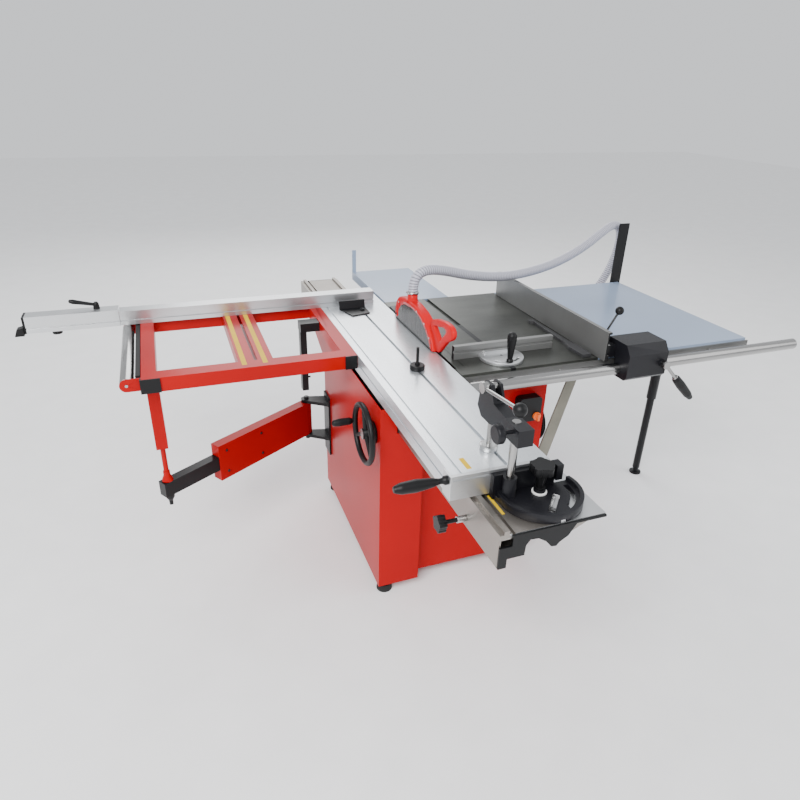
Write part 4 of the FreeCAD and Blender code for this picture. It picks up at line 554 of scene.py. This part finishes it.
# The hood is a U-shaped section carried along the ridge. Its legs point inwards, square to the
# ridge, and their length follows the flange table, so the side is open where the window sits.
def makeHood():
    ridge = guardRidge(96)
    tangent = np.gradient(ridge, axis=0)
    tangent /= np.linalg.norm(tangent, axis=1)[:, None]
    inward = np.column_stack([tangent[:, 1], -tangent[:, 0]])
    inward *= np.sign(np.sum(inward * (np.array(guard["middle"]) - ridge), axis=1))[:, None]
    share = np.linspace(0, 1, len(ridge))
    table = np.array(guard["flange"])
    depth = np.interp(share, table[:, 0], table[:, 1])
    half, r, wall = (guard["right"] - guard["left"]) / 2, guard["shoulder"], guard["wall"]
    bend = np.linspace(0, np.pi / 2, 7)
    outer = [(-half, r, 1)] + [(-half + r - r * np.cos(b), r - r * np.sin(b), 0) for b in bend]
    outer += [(-x, down, leg) for x, down, leg in outer[::-1]]
    inner = [(x * (half - wall) / half, down + wall * (1 - leg), leg)
             for x, down, leg in outer[::-1]]
    section = np.array(outer + inner)
    down = section[None, :, 1] + section[None, :, 2] * (depth[:, None] - r)
    points = np.zeros((len(ridge), len(section), 3))
    points[..., 0] = (guard["left"] + guard["right"]) / 2 + section[None, :, 0]
    points[..., 1:] = ridge[:, None, :] + inward[:, None, :] * down[..., None]
    points[..., 2] = np.maximum(points[..., 2], guard["low"])
    return gridMesh("guardHood", places(points), guardPlastic, closeColumns=True, caps=True)


# Each window is a plate whose lower edge is level and whose upper edge follows the ridge a few
# millimetres inside it.
def makeWindow(name, outside, inside):
    ridge = guardRidge(200)
    upper = ridge[np.argsort(ridge[:, 0])]
    y = np.linspace(guard["windowFront"], guard["windowBack"], 60)
    top = np.interp(y, upper[:, 0], upper[:, 1]) - guard["windowInset"]
    low = np.full_like(y, guard["low"] + 1)
    top = np.maximum(top, low + 2)
    rows = [np.column_stack([np.full_like(y, x), y, z]) for x, z in
            ((outside, low), (outside, top), (inside, top), (inside, low))]
    return gridMesh(name, places(np.stack(rows, 1)), smokyWindow, closeColumns=True, caps=True,
                    smooth=False)


# The handle is a closed bar round the finger hole: in each direction from the hole's centre its
# section is an oval between the hole's edge and the outer edge.
def makeLoop():
    angles = np.linspace(0, 2 * np.pi, 120, endpoint=False)
    outer = outlineRadius(guard["loop"], guard["loopCentre"], angles, 3)
    inner = outlineRadius(guard["finger"], guard["loopCentre"], angles, 3)
    section = superellipse(np.linspace(0, 2 * np.pi, 20, endpoint=False), guard["loopPower"])
    radius = (outer + inner)[:, None] / 2 + (outer - inner)[:, None] / 2 * section[None, :, 0]
    y, z = guard["loopCentre"]
    points = np.zeros((len(angles), len(section), 3))
    points[..., 0] = guard["port"][0] + section[None, :, 1] * guard["loopHalf"]
    points[..., 1] = y + radius * np.cos(angles)[:, None]
    points[..., 2] = np.maximum(z + radius * np.sin(angles)[:, None], guard["low"])
    return gridMesh("guardLoop", places(points), guardPlastic, closeRows=True, closeColumns=True)


# tube: rings of (along, radius) pairs in millimetres, closed on themselves
def tube(name, start, axis, rings, material):
    return lathe(name, place(*start), axis, np.array(rings) / 1000.0, material, ringed=True)


# screw: a round head with an eased rim and a socket sunk in its top
def screw(name, at, axis, radius, height, material):
    profile = [(0, radius), (height * 0.7, radius), (height, radius * 0.85),
               (height, radius * 0.45), (height * 0.4, radius * 0.4),
               (height * 0.4, radius * 0.05)]
    return lathe(name, place(*at), axis, np.array(profile) / 1000.0, material, count=20)


def makeGuard():
    x, y = guard["port"]
    r, tall, band = guard["portRadius"], guard["portTall"], guard["clampTall"]
    clampScrew = [(0, 3.4), (16, 3.4), (17, 2.4), (20, 2.4)]
    pieces = [makeHood(), makeLoop(),
              tube("guardPort", (x, y, guard["portLow"]), (0, 0, 1),
                   [(0, r + guard["portCollar"]), (8, r + 1), (13, r), (tall, r), (tall, r - 3),
                    (0, r - 3)], guardPlastic),
              tube("hoseClamp", (x, y, guard["clampLow"]), (0, 0, 1),
                   [(0, r + 2.6), (band, r + 2.6), (band, r + 0.4), (0, r + 0.4)], steel),
              lathe("hoseClampScrew", place(x - 24, y - 9, guard["clampLow"] + band / 2), (0, 1, 0),
                    np.array(clampScrew) / 1000.0, steel, count=16)]
    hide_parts("blade_guard")
    front, back = guard["edgeEnds"]
    for side, wall, outward, (edgeLeft, edgeRight) in (
            ("Left", guard["left"], -1, guard["edge"][0]),
            ("Right", guard["right"], 1, guard["edge"][1])):
        pieces.append(makeWindow("guardWindow" + side, wall - outward * guard["windowOut"],
                                 wall - outward * guard["windowIn"]))
        pieces.append(boxPiece("guardEdge" + side, (edgeLeft, front, guard["edgeLow"]),
                               (edgeRight, back, guard["edgeHigh"]), blackPlastic))
        for number, (along, above) in enumerate(guard["screws"]):
            pieces.append(screw("guardScrew%s%d" % (side, number), (wall, along, above),
                                (outward, 0, 0), guard["screwRadius"], guard["screwTall"], steel))
    for piece in pieces:
        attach(piece, "blade_guard")


makeGuard()
print("guard made")


# ---- strips, screws and small fittings ----
strips = [("frameTapeLeft", (-401, 841.2, 869.6), (-384, 1362, 870.2), "carriage"),
          ("frameTapeRight", (-330, 841.2, 869.6), (-313, 1362, 870.2), "carriage"),
          ("carriageLabel", (50, 12, 869.6), (64, 66, 870.2), "carriage"),
          ("railTape", (103, -92, 789.8), (111, -8, 790.5), "frame")]
armScrews = {"pivot": (-95, 1300, 390), "toEnd": (-0.8425, -0.5388), "outward": (0.5388, -0.8425),
             "along": (462, 285), "above": 47, "face": 22.5, "radius": 6, "height": 2.5}
# a dark strip along the gap between the roller and the left frame rail
darkStrip = {"low": (-742, 862, 836), "high": (-725.5, 1380, 866)}
# The pointer is a bar between two places, its section given as (down, across) offsets.
pointer = {"from": (262, -84, 808.5), "to": (214, -139, 808.5),
           "section": [(3.5, -9), (3.5, 9), (0, 9), (-1.6, 7), (-1.6, -7), (0, -9)]}
nut = {"at": (228, -56, 806.3), "rings": [(0, 20), (5, 20), (6, 19), (6, 13), (0, 13)]}


def fit(piece, body):
    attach(piece, body)


def makeFittings():
    for name, low, high, body in strips:
        fit(boxPiece(name, low, high, yellowStrip, ease=0.2), body)
    pivot, toEnd, outward = (np.array(armScrews[k]) for k in ("pivot", "toEnd", "outward"))
    for number, along in enumerate(armScrews["along"]):
        for side, above in (("Upper", armScrews["above"]), ("Lower", -armScrews["above"])):
            flat = pivot[:2] + toEnd * along + outward * armScrews["face"]
            fit(screw("armScrew%s%d" % (side, number), (*flat, pivot[2] + above), (*outward, 0),
                      armScrews["radius"], armScrews["height"], blackPaint),
                "swing_arm")
    fit(boxPiece("darkStripByRoller", darkStrip["low"], darkStrip["high"], rubber), "carriage")
    fit(sweep("quadrantPointer", places(np.linspace(pointer["from"], pointer["to"], 5)),
              np.array(pointer["section"]) / 1000, steel), "carriage")
    fit(tube("quadrantNut", nut["at"], (0, 0, 1), nut["rings"], whitePlastic), "carriage")


makeFittings()
print("fittings made")


# ---- floor and light ----
# Each lamp is (place, power in watts, width), all in metres, and all face the middle.
studio = {"floorSize": 30.0, "floorHeight": -0.0005, "middle": (0, 0, 0.8),
          "keyLight": ((-3.0, -3.2, 4.2), 380.0, 3.0), "fillLight": ((3.5, -2.4, 3.0), 60.0, 3.5),
          "rimLight": ((0.5, 4.2, 3.6), 120.0, 3.0), "sky": 0.95, "skyColour": (0.95, 0.97, 1.0, 1)}


def areaLight(name, position, target, power, size):
    light = bpy.data.lights.new(name, "AREA")
    light.energy, light.shape, light.size = power, "SQUARE", size
    lamp = bpy.data.objects.new(name, light)
    lamp.location = position
    lamp.rotation_euler = (Vector(target) - Vector(position)).to_track_quat("-Z", "Y").to_euler()
    scene.collection.objects.link(lamp)


def makeStudio():
    half, z = studio["floorSize"] / 2, studio["floorHeight"]
    corners = [(-half, -half, z), (half, -half, z), (half, half, z), (-half, half, z)]
    floor = meshObject("floor", corners, [(0, 1, 2, 3)], floorTone, smooth=False)
    for name in ("keyLight", "fillLight", "rimLight"):
        position, power, size = studio[name]
        areaLight(name, position, studio["middle"], power, size)
    world = bpy.data.worlds.new("studio")
    world.use_nodes = True
    background = world.node_tree.nodes["Background"]
    background.inputs["Color"].default_value = studio["skyColour"]
    background.inputs["Strength"].default_value = studio["sky"]
    scene.world = world


makeStudio()
print("studio lit")

for name, node in nodes.items():
    if name != "dust_hose":
        softenEdges(node)
print("edges softened")
